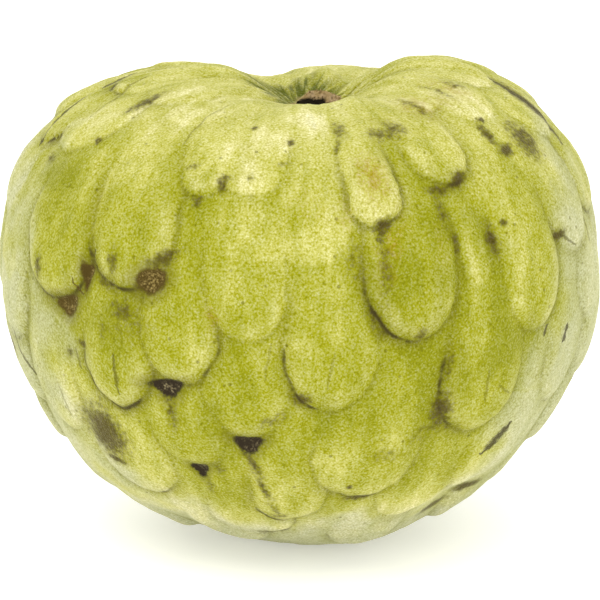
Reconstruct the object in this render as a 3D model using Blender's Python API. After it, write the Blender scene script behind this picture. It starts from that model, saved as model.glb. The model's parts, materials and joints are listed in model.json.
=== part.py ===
"""A cherimoya: one round, slightly heart-shaped fruit, standing on its blossom end.

The skin is a closed surface round the middle of the fruit. Its distance from the middle is given by a
formula: a rounded body with a broad dimple on top, a few soft lobes, the overlapping tongue-shaped scales
that cover a cherimoya, and the corky ring that the stalk leaves in the dimple.

Metres, +Z up. The origin is the middle of the small flat spot that the fruit rests on.
The front is -Y. An azimuth is 0 at the front and positive towards +X; a polar angle is 0 at the stalk.
"""

import math
import random
from collections import namedtuple

import bmesh
import bpy
import numpy as np

NAME = "cherimoya_fruit"
TINY = 1e-12

# The body, measured from a middle point on the upright axis
HALF_WIDTH = 0.0523
HALF_DEPTH = 0.0502
RISE = 0.0423
DROP = 0.0494
SHOULDER_POWER = 2.35
BASE_POWER = 2.05
FLAT_CUT = 0.0010
MIDDLE_HEIGHT = DROP - FLAT_CUT

# The broad dimple on top, deeper along the front-to-back line than across it, and its steeper core
DIMPLE_DEPTH = 0.0140
DIMPLE_SADDLE = 0.0055
DIMPLE_REACH = 41.0
CORE_DEPTH = 0.0020
CORE_REACH = 15.0
SADDLE_BAND = (9.0, 27.0)
STALK_OFFSET = 0.0031
STALK_OFFSET_REACH = 40.0

# Soft lobes and hollows of the body: where, how far they reach, and how high they are
Lobe = namedtuple("Lobe", "azimuth polar reach height")
LOBES = [
    Lobe(90, 36, 16, 0.0010),
    Lobe(-90, 36, 18, -0.0008),
    Lobe(180, 22, 11, 0.0054),
    Lobe(154, 32, 9, -0.0032),
    Lobe(-158, 32, 10, -0.0056),
    Lobe(-165, 48, 7, -0.0030),
    Lobe(157, 42, 8, -0.0007),
    Lobe(-136, 30, 12, -0.0016),
    Lobe(0, 33, 16, 0.0019),
    Lobe(-60, 127, 11, 0.0010),
    Lobe(-76, 114, 14, -0.0008),
    Lobe(74, 122, 13, -0.0012),
    Lobe(52, 137, 9, -0.0022),
    Lobe(30, 152, 10, 0.0010),
    Lobe(-36, 150, 10, -0.0009),
    Lobe(-84, 68, 9, 0.0009),
    Lobe(80, 73, 9, -0.0007),
    Lobe(68, 105, 8, -0.0006),
    Lobe(15, 33, 7, 0.0014),
    Lobe(2, 33, 5, -0.0005),
]

# The corky ring that the stalk leaves, and the pit inside it
RING_RADIUS = 0.0034
RING_THICKNESS = 0.0010
RING_HEIGHT = 0.0015
RING_FRONT_DROP = 0.9
RING_DROP_SLANT = 1.0
RING_DROP_BAND = (-0.0015, 0.0034)
PIT_RADIUS = 0.0026
PIT_SOFTNESS = 0.0007
PIT_DEPTH = 0.0036
PIT_OFFSET = (-0.0010, -0.0006)

# The folds that run from the stalk out to the shoulders
FOLDS = 13
FOLD_HEIGHT = 0.00045
FOLD_WANDER = 1.1
FOLD_WAVES = 3.0
FOLD_PHASE = 0.7
FOLD_BAND = (6.0, 18.0, 34.0, 58.0)

# A scale is a tongue that lies down the fruit. Its place is that of its tip, and its strength says how
# much of the full relief it has, because some scales have nearly grown into the skin.
Tongue = namedtuple("Tongue", "azimuth polar half_width length lean strength")
TIP_ROUNDNESS = 1.15
TIP_SHARPNESS = 5.0
SIDE_SHARPNESS = 1.8
SIDE_SOFTNESS = 1.0
TAPER = 0.25
LIFT = 0.0015
LIFT_AT_STALK = 0.0009
LIFT_BAND = (25.0, 75.0)
DISH_DEPTH = 0.00035
DISH_WIDTH = 0.5
DISH_LENGTH = 0.7
FLOOR = -0.0005
ROOT_START = 0.35
BLOSSOM_FADE = (157.0, 166.0)
STALK_FADE = (24.0, 60.0)
SAME_SIDE = 0.016
FRAME_STEP = 0.5

FRONT_TONGUES = [
    Tongue(-55, 45, 0.0058, 0.018, 0, 0.5),
    Tongue(-36, 50, 0.0056, 0.020, 0, 0.35),
    Tongue(40, 46, 0.0048, 0.018, 0, 0.5),
    Tongue(56, 52, 0.0056, 0.020, 0, 0.35),
    Tongue(-72, 101, 0.0080, 0.026, 0, 0.8),
    Tongue(-60.5, 62, 0.0084, 0.021, 20, 0.6),
    Tongue(-53.5, 89, 0.0100, 0.029, 0, 1.0),
    Tongue(-57, 117, 0.0078, 0.024, 4, 0.6),
    Tongue(-35, 84.5, 0.0086, 0.030, 0, 0.9),
    Tongue(-36, 107.5, 0.0072, 0.022, 4, 1.0),
    Tongue(-38, 131, 0.0078, 0.022, 8, 0.6),
    Tongue(-21.5, 65, 0.0050, 0.022, 4, 0.6),
    Tongue(-22.5, 102, 0.0070, 0.026, 4, 0.7),
    Tongue(-23.5, 120.5, 0.0066, 0.020, 2, 0.4),
    Tongue(-11.5, 65, 0.0058, 0.024, 0, 0.45),
    Tongue(-10.5, 92, 0.0072, 0.028, 0, 0.5),
    Tongue(-11, 112, 0.0070, 0.020, -4, 0.45),
    Tongue(-11, 145, 0.0075, 0.022, 12, 0.6),
    Tongue(-2, 136.5, 0.0066, 0.021, 4, 0.7),
    Tongue(5, 105.5, 0.0076, 0.026, -3, 0.6),
    Tongue(3, 78, 0.0066, 0.030, 0, 0.15),
    Tongue(16, 71, 0.0044, 0.026, 4, 1.0),
    Tongue(13, 129, 0.0090, 0.025, -4, 0.7),
    Tongue(21.5, 92.5, 0.0080, 0.027, 0, 0.9),
    Tongue(33, 64.5, 0.0056, 0.024, 0, 0.7),
    Tongue(36.5, 84, 0.0028, 0.022, 12, 0.4),
    Tongue(36, 113, 0.0084, 0.034, -6, 0.8),
    Tongue(51, 94.5, 0.0078, 0.034, 8, 0.8),
    Tongue(55, 70, 0.0064, 0.024, 8, 0.15),
    Tongue(29, 138, 0.0074, 0.022, -8, 0.5),
    Tongue(46, 133, 0.0078, 0.022, -12, 0.6),
    Tongue(67, 82.5, 0.0086, 0.026, 10, 0.6),
    Tongue(63, 112, 0.0078, 0.024, -4, 0.5),
]
FRONT_SECTOR = 64.0
FRONT_BAND = (40.0, 150.0)

# The same scales go on round the fruit in staggered rows
Row = namedtuple("Row", "polar count half_width length")
ROWS = [
    Row(46, 17, 0.0050, 0.018),
    Row(62, 16, 0.0066, 0.020),
    Row(79, 15, 0.0080, 0.025),
    Row(96, 15, 0.0082, 0.026),
    Row(113, 14, 0.0082, 0.026),
    Row(128, 13, 0.0084, 0.024),
    Row(142, 11, 0.0080, 0.022),
    Row(154, 8, 0.0072, 0.018),
]
ROW_JITTER = (4.0, 3.0)
SIZE_JITTER = 0.10
SEED = 7
STRENGTHS = (0.4, 1.0)
STRENGTH_SEED = 21

SPHERE_SUBDIVISIONS = 7
TRIANGLES = 10200
BLOCK_HEIGHT = 0.01

SKIN_COLOUR = (0.50, 0.49, 0.13, 1.0)
SKIN_ROUGHNESS = 0.6


def clear_scene():
    """Removes what the startup scene holds."""
    for obj in list(bpy.data.objects):
        bpy.data.objects.remove(obj)


def smooth(value, low, high):
    """0 below low, 1 above high, and a soft step between them."""
    share = np.clip((value - low) / (high - low), 0.0, 1.0)
    return share * share * (3.0 - 2.0 * share)


def direction(azimuth, polar):
    """Unit vector from the middle of the fruit for angles in degrees."""
    a, p = math.radians(azimuth), math.radians(polar)
    return np.array([math.sin(p) * math.sin(a), -math.sin(p) * math.cos(a), math.cos(p)])


def polar_of(directions):
    """Polar angle in degrees of each unit vector."""
    return np.degrees(np.arccos(np.clip(directions[:, 2], -1.0, 1.0)))


def body_points(directions):
    """The bare body, before scales, along each unit vector."""
    x, y, z = directions.T
    polar = polar_of(directions)
    height = np.where(z > 0.0, RISE, DROP)
    power = np.where(z > 0.0, SHOULDER_POWER, BASE_POWER)
    level = np.hypot(x / HALF_WIDTH, y / HALF_DEPTH)
    radius = (level**power + (np.abs(z) / height) ** power) ** (-1.0 / power)
    front_to_back = (y**2 - x**2) / np.maximum(x**2 + y**2, TINY)
    saddle = DIMPLE_SADDLE * front_to_back * smooth(polar, *SADDLE_BAND)
    radius -= (DIMPLE_DEPTH + saddle) * np.exp(-((polar / DIMPLE_REACH) ** 2))
    radius -= CORE_DEPTH * np.exp(-((polar / CORE_REACH) ** 2))
    for lobe in LOBES:
        nearness = directions @ direction(lobe.azimuth, lobe.polar)
        radius += lobe.height * np.exp((nearness - 1.0) / (1.0 - math.cos(math.radians(lobe.reach))))
    points = directions * radius[:, None]
    points[:, 0] += STALK_OFFSET * np.exp(-((polar / STALK_OFFSET_REACH) ** 2))
    return points


def all_tongues():
    """The front scales, and staggered rows of them round the rest of the fruit."""
    draw = random.Random(SEED)
    strength_draw = random.Random(STRENGTH_SEED)
    tongues = list(FRONT_TONGUES)
    for number, row in enumerate(ROWS):
        for place in range(row.count):
            azimuth = 360.0 * (place + 0.5 * (number % 2)) / row.count - 180.0
            azimuth += draw.uniform(-1.0, 1.0) * ROW_JITTER[0]
            polar = row.polar + draw.uniform(-1.0, 1.0) * ROW_JITTER[1]
            size = 1.0 + draw.uniform(-1.0, 1.0) * SIZE_JITTER
            in_front = abs(azimuth) < FRONT_SECTOR and FRONT_BAND[0] < polar < FRONT_BAND[1]
            if not in_front:
                strength = strength_draw.uniform(*STRENGTHS)
                shape = (row.half_width * size, row.length * size, 0, strength)
                tongues.append(Tongue(azimuth, polar, *shape))
    return tongues


def tongue_frame(tongue):
    """The tip's point on the bare body, and the unit vectors across the scale, down it and out of the skin."""
    tip, lower, side = body_points(
        np.array(
            [
                direction(tongue.azimuth, tongue.polar),
                direction(tongue.azimuth, tongue.polar + FRAME_STEP),
                direction(tongue.azimuth + FRAME_STEP, tongue.polar),
            ]
        )
    )
    down = (lower - tip) / np.linalg.norm(lower - tip)
    out = np.cross(down, side - tip)
    out /= np.linalg.norm(out)
    across = np.cross(out, down)
    lean = math.radians(tongue.lean)
    down, across = (
        down * math.cos(lean) + across * math.sin(lean),
        across * math.cos(lean) - down * math.sin(lean),
    )
    return tip, across, down, out


def tongue_height(points, tongue):
    """How far one scale stands above the bare body at each point, and FLOOR where it isn't."""
    tip, across, down, out = tongue_frame(tongue)
    from_tip = points - tip
    beside = from_tip @ across
    above = -(from_tip @ down)
    round_end = TIP_ROUNDNESS * tongue.half_width
    upper = smooth(above, round_end, tongue.length)
    width = tongue.half_width * (1.0 - TAPER * upper)
    edge = np.hypot(beside / width, np.maximum(0.0, round_end - above) / round_end)
    sharpness = TIP_SHARPNESS + (SIDE_SHARPNESS - TIP_SHARPNESS) * upper
    lift = LIFT_AT_STALK + (LIFT - LIFT_AT_STALK) * smooth(tongue.polar, *LIFT_BAND)
    ramp = np.clip(1.0 - above / tongue.length, 0.0, 1.0)
    root = 1.0 - smooth(above, ROOT_START * tongue.length, tongue.length)
    dish_beside = beside / (DISH_WIDTH * tongue.half_width)
    dish_above = (above - round_end) / (DISH_LENGTH * round_end)
    dish = DISH_DEPTH * np.exp(-(dish_beside**2) - dish_above**2)
    profile = (1.0 - np.minimum(edge, 1.0) ** sharpness) ** (1.0 + SIDE_SOFTNESS * upper)
    crown = (lift * ramp - FLOOR * root) * profile
    height = FLOOR + tongue.strength * (crown - dish)
    here = (edge < 1.0) & (ramp > 0.0) & (from_tip @ out > -SAME_SIDE)
    return np.where(here, height, FLOOR)


def stalk_folds(directions):
    """Soft folds that radiate from the stalk, and die out over the shoulders."""
    azimuth = np.arctan2(directions[:, 0], -directions[:, 1])
    polar = polar_of(directions)
    start, full, fading, end = FOLD_BAND
    reach = smooth(polar, start, full) * (1.0 - smooth(polar, fading, end))
    return FOLD_HEIGHT * reach * np.cos(FOLDS * azimuth + FOLD_WANDER * np.sin(FOLD_WAVES * azimuth + FOLD_PHASE))


def stalk_ring(points):
    """The corky ring in the dimple, raised round its pit and lower at the front."""
    stalk = body_points(direction(0.0, 0.0)[None, :])[0]
    off_axis = np.hypot(points[:, 0] - stalk[0], points[:, 1] - stalk[1])
    front = smooth(stalk[1] - points[:, 1] - RING_DROP_SLANT * (points[:, 0] - stalk[0]), *RING_DROP_BAND)
    ring = RING_HEIGHT * np.exp(-(((off_axis - RING_RADIUS) / RING_THICKNESS) ** 2))
    ring *= 1.0 - RING_FRONT_DROP * front
    off_pit = np.hypot(points[:, 0] - stalk[0] - PIT_OFFSET[0], points[:, 1] - stalk[1] - PIT_OFFSET[1])
    pit = PIT_DEPTH * (1.0 - smooth(off_pit, PIT_RADIUS - PIT_SOFTNESS, PIT_RADIUS + PIT_SOFTNESS))
    return np.where(points[:, 2] > 0.0, ring - pit, 0.0)


def skin_points(directions):
    """The finished skin along each unit vector, in the part's own frame."""
    points = body_points(directions)
    relief = np.full(len(points), FLOOR)
    for tongue in all_tongues():
        relief = np.maximum(relief, tongue_height(points, tongue))
    polar = polar_of(directions)
    relief *= smooth(polar, *STALK_FADE) * (1.0 - smooth(polar, *BLOSSOM_FADE))
    relief += stalk_folds(directions) + stalk_ring(points)
    points = points + directions * relief[:, None]
    points[:, 2] += MIDDLE_HEIGHT
    return points


def skin_material():
    """Matt yellow-green skin."""
    material = bpy.data.materials.new("skin")
    material.use_nodes = True
    shader = material.node_tree.nodes["Principled BSDF"]
    shader.inputs["Base Color"].default_value = SKIN_COLOUR
    shader.inputs["Roughness"].default_value = SKIN_ROUGHNESS
    shader.inputs["Metallic"].default_value = 0.0
    return material


def make_fruit(collection):
    """An icosphere moved onto the skin, then thinned where the skin is smooth."""
    shape = bmesh.new()
    bmesh.ops.create_icosphere(shape, subdivisions=SPHERE_SUBDIVISIONS, radius=1.0)
    directions = np.array([vertex.co for vertex in shape.verts])
    directions /= np.linalg.norm(directions, axis=1)[:, None]
    for vertex, point in zip(shape.verts, skin_points(directions)):
        vertex.co = point
    full_count = len(shape.faces)
    mesh = bpy.data.meshes.new(NAME)
    shape.to_mesh(mesh)
    shape.free()
    mesh.shade_smooth()
    mesh.materials.append(skin_material())
    fruit = bpy.data.objects.new(NAME, mesh)
    collection.objects.link(fruit)
    thin = fruit.modifiers.new("thin_smooth_skin", "DECIMATE")
    thin.ratio = TRIANGLES / full_count
    return fruit


def cut_flat_spot(fruit, collection):
    """A block under the resting plane, which cuts the fruit's small flat spot."""
    block_mesh = bpy.data.meshes.new("table_block")
    shape = bmesh.new()
    bmesh.ops.create_cube(shape, size=1.0)
    bmesh.ops.scale(shape, vec=(2.0 * HALF_WIDTH, 2.0 * HALF_DEPTH, BLOCK_HEIGHT), verts=shape.verts)
    bmesh.ops.translate(shape, vec=(0.0, 0.0, -BLOCK_HEIGHT / 2.0), verts=shape.verts)
    shape.to_mesh(block_mesh)
    shape.free()
    block = bpy.data.objects.new("table_block", block_mesh)
    collection.objects.link(block)
    block.hide_render = True
    block.display_type = "WIRE"
    cut = fruit.modifiers.new("flat_spot", "BOOLEAN")
    cut.operation = "DIFFERENCE"
    cut.object = block


def main():
    clear_scene()
    parts = bpy.data.collections.new("cherimoya")
    cutters = bpy.data.collections.new("cutters")
    for collection in (parts, cutters):
        bpy.context.scene.collection.children.link(collection)
    fruit = make_fruit(parts)
    cut_flat_spot(fruit, cutters)


main()
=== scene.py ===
# %% [markdown]
# # A cherimoya, grown from a few rules
# A cherimoya is one round fruit. Its skin is covered with low, tongue-shaped scales that hang down over
# each other like roof tiles, and all of them start from the stalk. Here the whole skin is one closed mesh
# that a Geometry Nodes tree shapes by a formula, and its colours follow what that tree measures on the way.
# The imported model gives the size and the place. It is loaded first, and never changed.

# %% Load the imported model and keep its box
import json
import math
import random
from collections import namedtuple

import bpy
from mathutils import Color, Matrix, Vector

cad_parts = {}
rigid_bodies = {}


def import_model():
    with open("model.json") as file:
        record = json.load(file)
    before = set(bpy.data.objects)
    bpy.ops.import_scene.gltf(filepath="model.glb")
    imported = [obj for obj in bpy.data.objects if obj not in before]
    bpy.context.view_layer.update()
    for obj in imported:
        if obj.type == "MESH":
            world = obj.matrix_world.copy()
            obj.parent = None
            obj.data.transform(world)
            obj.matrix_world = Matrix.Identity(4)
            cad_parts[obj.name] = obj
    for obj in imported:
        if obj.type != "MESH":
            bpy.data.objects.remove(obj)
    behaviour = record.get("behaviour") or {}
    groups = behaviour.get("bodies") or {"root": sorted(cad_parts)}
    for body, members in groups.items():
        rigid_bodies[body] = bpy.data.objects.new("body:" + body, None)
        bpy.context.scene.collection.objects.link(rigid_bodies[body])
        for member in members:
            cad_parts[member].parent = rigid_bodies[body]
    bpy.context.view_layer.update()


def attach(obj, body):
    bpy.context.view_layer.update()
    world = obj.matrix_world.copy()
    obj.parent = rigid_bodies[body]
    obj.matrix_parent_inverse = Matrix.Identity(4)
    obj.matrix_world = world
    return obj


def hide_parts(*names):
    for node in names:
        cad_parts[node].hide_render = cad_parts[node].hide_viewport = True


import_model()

# %% [markdown]
# ## Sums that write nodes
# A node tree is a formula drawn as boxes. Long formulas are easier to read as sums, so `Wire` stands for
# one socket of a tree, and adding or multiplying two wires adds the Math node that does it. The same few
# helpers serve the Geometry Nodes trees and the materials.

# %% A wire, and the helpers that join nodes


class Wire:
    """One output socket. Ordinary sums with it add Math nodes to its tree."""

    def __init__(self, socket):
        self.socket = socket
        self.tree = socket.id_data

    def __add__(self, other):
        return maths("ADD", self, other)

    def __radd__(self, other):
        return maths("ADD", other, self)

    def __sub__(self, other):
        return maths("SUBTRACT", self, other)

    def __rsub__(self, other):
        return maths("SUBTRACT", other, self)

    def __mul__(self, other):
        return maths("MULTIPLY", self, other)

    def __rmul__(self, other):
        return maths("MULTIPLY", other, self)

    def __truediv__(self, other):
        return maths("DIVIDE", self, other)

    def __rtruediv__(self, other):
        return maths("DIVIDE", other, self)

    def __pow__(self, other):
        return maths("POWER", self, other)

    def __neg__(self):
        return maths("MULTIPLY", self, -1.0)


def feed(socket, value):
    """Links a wire to an input socket, or types a plain value into it."""
    if isinstance(value, Wire):
        socket.id_data.links.new(value.socket, socket)
    else:
        socket.default_value = value


def add_node(tree, kind, inputs=None, **settings):
    """A new node with its settings and inputs filled in."""
    node = tree.nodes.new(kind)
    for name, value in settings.items():
        setattr(node, name, value)
    for name, value in (inputs or {}).items():
        feed(node.inputs[name], value)
    return node


def output_of(tree, kind, inputs=None, output=0, **settings):
    """One output of a new node."""
    return Wire(add_node(tree, kind, inputs, **settings).outputs[output])


def tree_of(values):
    """The tree that the first wire among the values is in."""
    return next(value.tree for value in values if isinstance(value, Wire))


def maths(operation, *values):
    """One Math node."""
    return output_of(tree_of(values), "ShaderNodeMath", dict(enumerate(values)), operation=operation)


def arrows(operation, *values):
    """One Vector Math node."""
    inputs = {0: values[0], "Scale": values[1]} if operation == "SCALE" else dict(enumerate(values))
    output = "Value" if operation == "DOT_PRODUCT" else "Vector"
    return output_of(tree_of(values), "ShaderNodeVectorMath", inputs, output, operation=operation)


def smooth(value, low, high):
    """0 below low, 1 above high, and a soft step between them."""
    inputs = {"Value": value, "From Min": low, "From Max": high}
    return output_of(value.tree, "ShaderNodeMapRange", inputs, interpolation_type="SMOOTHSTEP")


def clamp(value):
    """The value, held between 0 and 1."""
    return maths("MAXIMUM", maths("MINIMUM", value, 1.0), 0.0)


def bell(value, reach):
    """1 at zero, falling off softly over the reach."""
    share = value / reach
    return maths("EXPONENT", -(share * share))


def hypot(a, b):
    """Length of the two sides' diagonal."""
    return maths("SQRT", a * a + b * b)


def split(vector):
    """A vector's x, y and z."""
    return [Wire(socket) for socket in add_node(vector.tree, "ShaderNodeSeparateXYZ", {0: vector}).outputs]


def join(x, y, z):
    """A vector from its x, y and z."""
    return output_of(tree_of([x, y, z]), "ShaderNodeCombineXYZ", {0: x, 1: y, 2: z})


# %% [markdown]
# Noises make one place differ from the next. Most are wanted about 0, so that they add as much as they take
# away.

# %% Two noises, and the least number that a sum divides by
NOISE_MIDDLE = 0.5
NOISE_GAIN = 4.0
TINY = 1e-6


def noise(place, size, detail=2.0, roughness=0.5, output=0):
    """A noise whose blobs are about the given size, from 0 to 1 with 0.5 as its middle."""
    inputs = {"Vector": place, "Scale": 1.0 / size, "Detail": detail, "Roughness": roughness}
    return output_of(place.tree, "ShaderNodeTexNoise", inputs, output)


def uneven(place, size, detail=2.0, roughness=0.5):
    """The same noise about 0, mostly from -1 to 1."""
    return (noise(place, size, detail, roughness) - NOISE_MIDDLE) * NOISE_GAIN


# %% [markdown]
# ## The body's own measures
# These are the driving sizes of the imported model, repeated here because this script can't read its source.
# An azimuth is 0 at the front and grows towards +X, and a polar angle is 0 at the stalk, both in degrees.

# %% The body, the dimple and the lobes
HALF_WIDTH = 0.0523
HALF_DEPTH = 0.0502
RISE = 0.0423
DROP = 0.0494
SHOULDER_POWER = 2.35
BASE_POWER = 2.05
FLAT_CUT = 0.0010
MIDDLE_HEIGHT = DROP - FLAT_CUT

DIMPLE_DEPTH = 0.0140
DIMPLE_SADDLE = 0.0055
DIMPLE_REACH = 41.0
CORE_DEPTH = 0.0020
CORE_REACH = 15.0
SADDLE_BAND = (9.0, 27.0)
STALK_OFFSET = 0.0031
STALK_OFFSET_REACH = 40.0

Lobe = namedtuple("Lobe", "azimuth polar reach height")
LOBES = [
    Lobe(90, 36, 16, 0.0010),
    Lobe(-90, 36, 18, -0.0008),
    Lobe(180, 22, 11, 0.0054),
    Lobe(154, 32, 9, -0.0032),
    Lobe(-158, 32, 10, -0.0056),
    Lobe(-165, 48, 7, -0.0030),
    Lobe(157, 42, 8, -0.0007),
    Lobe(-136, 30, 12, -0.0016),
    Lobe(0, 33, 16, 0.0019),
    Lobe(-60, 127, 11, 0.0010),
    Lobe(-76, 114, 14, -0.0008),
    Lobe(74, 122, 13, -0.0012),
    Lobe(52, 137, 9, -0.0022),
    Lobe(30, 152, 10, 0.0010),
    Lobe(-36, 150, 10, -0.0009),
    Lobe(-84, 68, 9, 0.0009),
    Lobe(80, 73, 9, -0.0007),
    Lobe(68, 105, 8, -0.0006),
    Lobe(15, 33, 7, 0.0014),
    Lobe(2, 33, 5, -0.0005),
]


def direction(azimuth, polar):
    """Unit vector from the middle of the fruit for angles in degrees."""
    a, p = math.radians(azimuth), math.radians(polar)
    return (math.sin(p) * math.sin(a), -math.sin(p) * math.cos(a), math.cos(p))


# %% [markdown]
# The bare body is a rounded solid whose radius is a formula of the direction. It is needed for the skin and
# again for the place of every scale, so it is a node group, made once and used wherever a direction has to
# be put on the body.

# %% The bare body as a node group


def new_tree(name, inputs, outputs):
    """A Geometry Nodes tree with its sockets, and the wires of its inputs."""
    tree = bpy.data.node_groups.new(name, "GeometryNodeTree")
    for label, kind, value in inputs:
        socket = tree.interface.new_socket(label, in_out="INPUT", socket_type=kind)
        if value is not None:
            socket.default_value = value
    for label, kind in outputs:
        tree.interface.new_socket(label, in_out="OUTPUT", socket_type=kind)
    start = tree.nodes.new("NodeGroupInput")
    end = tree.nodes.new("NodeGroupOutput")
    return tree, {socket.name: Wire(socket) for socket in start.outputs if socket.name}, end


def polar_of(way):
    """Polar angle in degrees of a unit vector."""
    return maths("DEGREES", maths("ARCCOSINE", split(way)[2]))


def make_body_group():
    """Direction in, point on the bare body out."""
    tree, given, end = new_tree(
        "Bare body",
        [("Direction", "NodeSocketVector", None)],
        [("Point", "NodeSocketVector")],
    )
    way = given["Direction"]
    x, y, z = split(way)
    polar = polar_of(way)
    upper = maths("GREATER_THAN", z, 0.0)
    height = DROP + upper * (RISE - DROP)
    power = BASE_POWER + upper * (SHOULDER_POWER - BASE_POWER)
    level = hypot(x / HALF_WIDTH, y / HALF_DEPTH)
    radius = (level**power + (maths("ABSOLUTE", z) / height) ** power) ** (-1.0 / power)
    front_to_back = (y * y - x * x) / maths("MAXIMUM", x * x + y * y, TINY)
    saddle = DIMPLE_SADDLE * front_to_back * smooth(polar, *SADDLE_BAND)
    radius = radius - (DIMPLE_DEPTH + saddle) * bell(polar, DIMPLE_REACH)
    radius = radius - CORE_DEPTH * bell(polar, CORE_REACH)
    for lobe in LOBES:
        nearness = arrows("DOT_PRODUCT", way, direction(lobe.azimuth, lobe.polar))
        reach = 1.0 - math.cos(math.radians(lobe.reach))
        radius = radius + lobe.height * maths("EXPONENT", (nearness - 1.0) / reach)
    point = arrows("SCALE", way, radius)
    shift = join(STALK_OFFSET * bell(polar, STALK_OFFSET_REACH), 0.0, 0.0)
    feed(end.inputs["Point"], arrows("ADD", point, shift))
    return tree


body_group = make_body_group()


def on_body(way):
    """The bare body's point along a direction."""
    return output_of(way.tree, "GeometryNodeGroup", {"Direction": way}, "Point", node_tree=body_group)


print("bare body:", len(body_group.nodes), "nodes")

# %% [markdown]
# ## Where the scales are
# A scale's place is that of its tip. The ones on the front are set where the photograph shows them, and the
# others follow in staggered rows with a seeded jitter. `strength` says how far a scale stands out, `ink` how
# dark the corky line under its tip is, and `ink_side` which side of the tip that line favours. The plan is a
# small mesh with a vertex for each scale, which the tree reads row by row.

# %% The plan of the scales
Tongue = namedtuple("Tongue", "azimuth polar half_width length lean strength ink ink_side", defaults=(0.0,))
FRONT_TONGUES = [
    Tongue(-55, 45, 0.0058, 0.018, 0, 0.5, 0.3),
    Tongue(-36, 50, 0.0056, 0.020, 0, 0.35, 0.0),
    Tongue(40, 46, 0.0048, 0.018, 0, 0.5, 0.3),
    Tongue(56, 52, 0.0056, 0.020, 0, 0.35, 0.0),
    Tongue(-72, 101, 0.0080, 0.026, 0, 0.8, 0.5),
    Tongue(-60.5, 62, 0.0084, 0.021, 20, 0.6, 0.1),
    Tongue(-53.5, 89, 0.0100, 0.029, 0, 1.0, 1.0, 0.3),
    Tongue(-57, 117, 0.0078, 0.024, 4, 0.6, 0.2),
    Tongue(-35, 84.5, 0.0086, 0.030, 0, 0.9, 0.9, -0.3),
    Tongue(-36, 107.5, 0.0072, 0.022, 4, 1.0, 1.0, -0.2),
    Tongue(-38, 131, 0.0078, 0.022, 8, 0.6, 0.5),
    Tongue(-21.5, 65, 0.0050, 0.022, 4, 0.6, 0.1, -0.5),
    Tongue(-22.5, 102, 0.0070, 0.026, 4, 0.7, 0.5, 0.4),
    Tongue(-23.5, 120.5, 0.0066, 0.020, 2, 0.4, 0.1),
    Tongue(-11.5, 65, 0.0058, 0.024, 0, 0.45, 0.0),
    Tongue(-10.5, 92, 0.0072, 0.028, 0, 0.5, 0.1, -0.6),
    Tongue(-11, 112, 0.0070, 0.020, -4, 0.45, 0.2),
    Tongue(-11, 145, 0.0075, 0.022, 12, 0.6, 0.6),
    Tongue(-2, 136.5, 0.0066, 0.021, 4, 0.7, 0.5, -0.8),
    Tongue(5, 105.5, 0.0076, 0.026, -3, 0.6, 0.6, -0.6),
    Tongue(3, 78, 0.0066, 0.030, 0, 0.15, 0.0),
    Tongue(16, 71, 0.0044, 0.026, 4, 1.0, 0.35, 0.5),
    Tongue(13, 129, 0.0090, 0.025, -4, 0.7, 0.4),
    Tongue(21.5, 92.5, 0.0080, 0.027, 0, 0.9, 0.9, -0.5),
    Tongue(33, 64.5, 0.0056, 0.024, 0, 0.7, 0.4, 0.2),
    Tongue(36.5, 84, 0.0028, 0.022, 12, 0.4, 0.0),
    Tongue(36, 113, 0.0084, 0.034, -6, 0.8, 0.6, -0.6),
    Tongue(51, 94.5, 0.0078, 0.034, 8, 0.8, 0.2, 0.6),
    Tongue(55, 70, 0.0064, 0.024, 8, 0.15, 0.0),
    Tongue(29, 138, 0.0074, 0.022, -8, 0.5, 0.2),
    Tongue(46, 133, 0.0078, 0.022, -12, 0.6, 0.3),
    Tongue(67, 82.5, 0.0086, 0.026, 10, 0.6, 0.3, 0.5),
    Tongue(63, 112, 0.0078, 0.024, -4, 0.5, 0.2),
]
FRONT_SECTOR = 64.0
FRONT_BAND = (40.0, 150.0)
Row = namedtuple("Row", "polar count half_width length")
ROWS = [
    Row(46, 17, 0.0050, 0.018),
    Row(62, 16, 0.0066, 0.020),
    Row(79, 15, 0.0080, 0.025),
    Row(96, 15, 0.0082, 0.026),
    Row(113, 14, 0.0082, 0.026),
    Row(128, 13, 0.0084, 0.024),
    Row(142, 11, 0.0080, 0.022),
    Row(154, 8, 0.0072, 0.018),
]
ROW_JITTER = (4.0, 3.0)
SIZE_JITTER = 0.10
SEED = 7
STRENGTHS = (0.4, 1.0)
STRENGTH_SEED = 21
FINISH_SEED = 5
INK_SIDES = (-0.8, 0.8)
INK_RARITY = 3


def all_tongues():
    """The front scales, and staggered rows of them round the rest of the fruit."""
    draw = random.Random(SEED)
    strength_draw = random.Random(STRENGTH_SEED)
    finish = random.Random(FINISH_SEED)
    tongues = list(FRONT_TONGUES)
    for number, row in enumerate(ROWS):
        for place in range(row.count):
            azimuth = 360.0 * (place + 0.5 * (number % 2)) / row.count - 180.0
            azimuth += draw.uniform(-1.0, 1.0) * ROW_JITTER[0]
            polar = row.polar + draw.uniform(-1.0, 1.0) * ROW_JITTER[1]
            size = 1.0 + draw.uniform(-1.0, 1.0) * SIZE_JITTER
            in_front = abs(azimuth) < FRONT_SECTOR and FRONT_BAND[0] < polar < FRONT_BAND[1]
            if not in_front:
                shape = (azimuth, polar, row.half_width * size, row.length * size, 0)
                strength = strength_draw.uniform(*STRENGTHS)
                ink = finish.random() ** INK_RARITY
                tongues.append(Tongue(*shape, strength, ink, finish.uniform(*INK_SIDES)))
    return tongues


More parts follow.
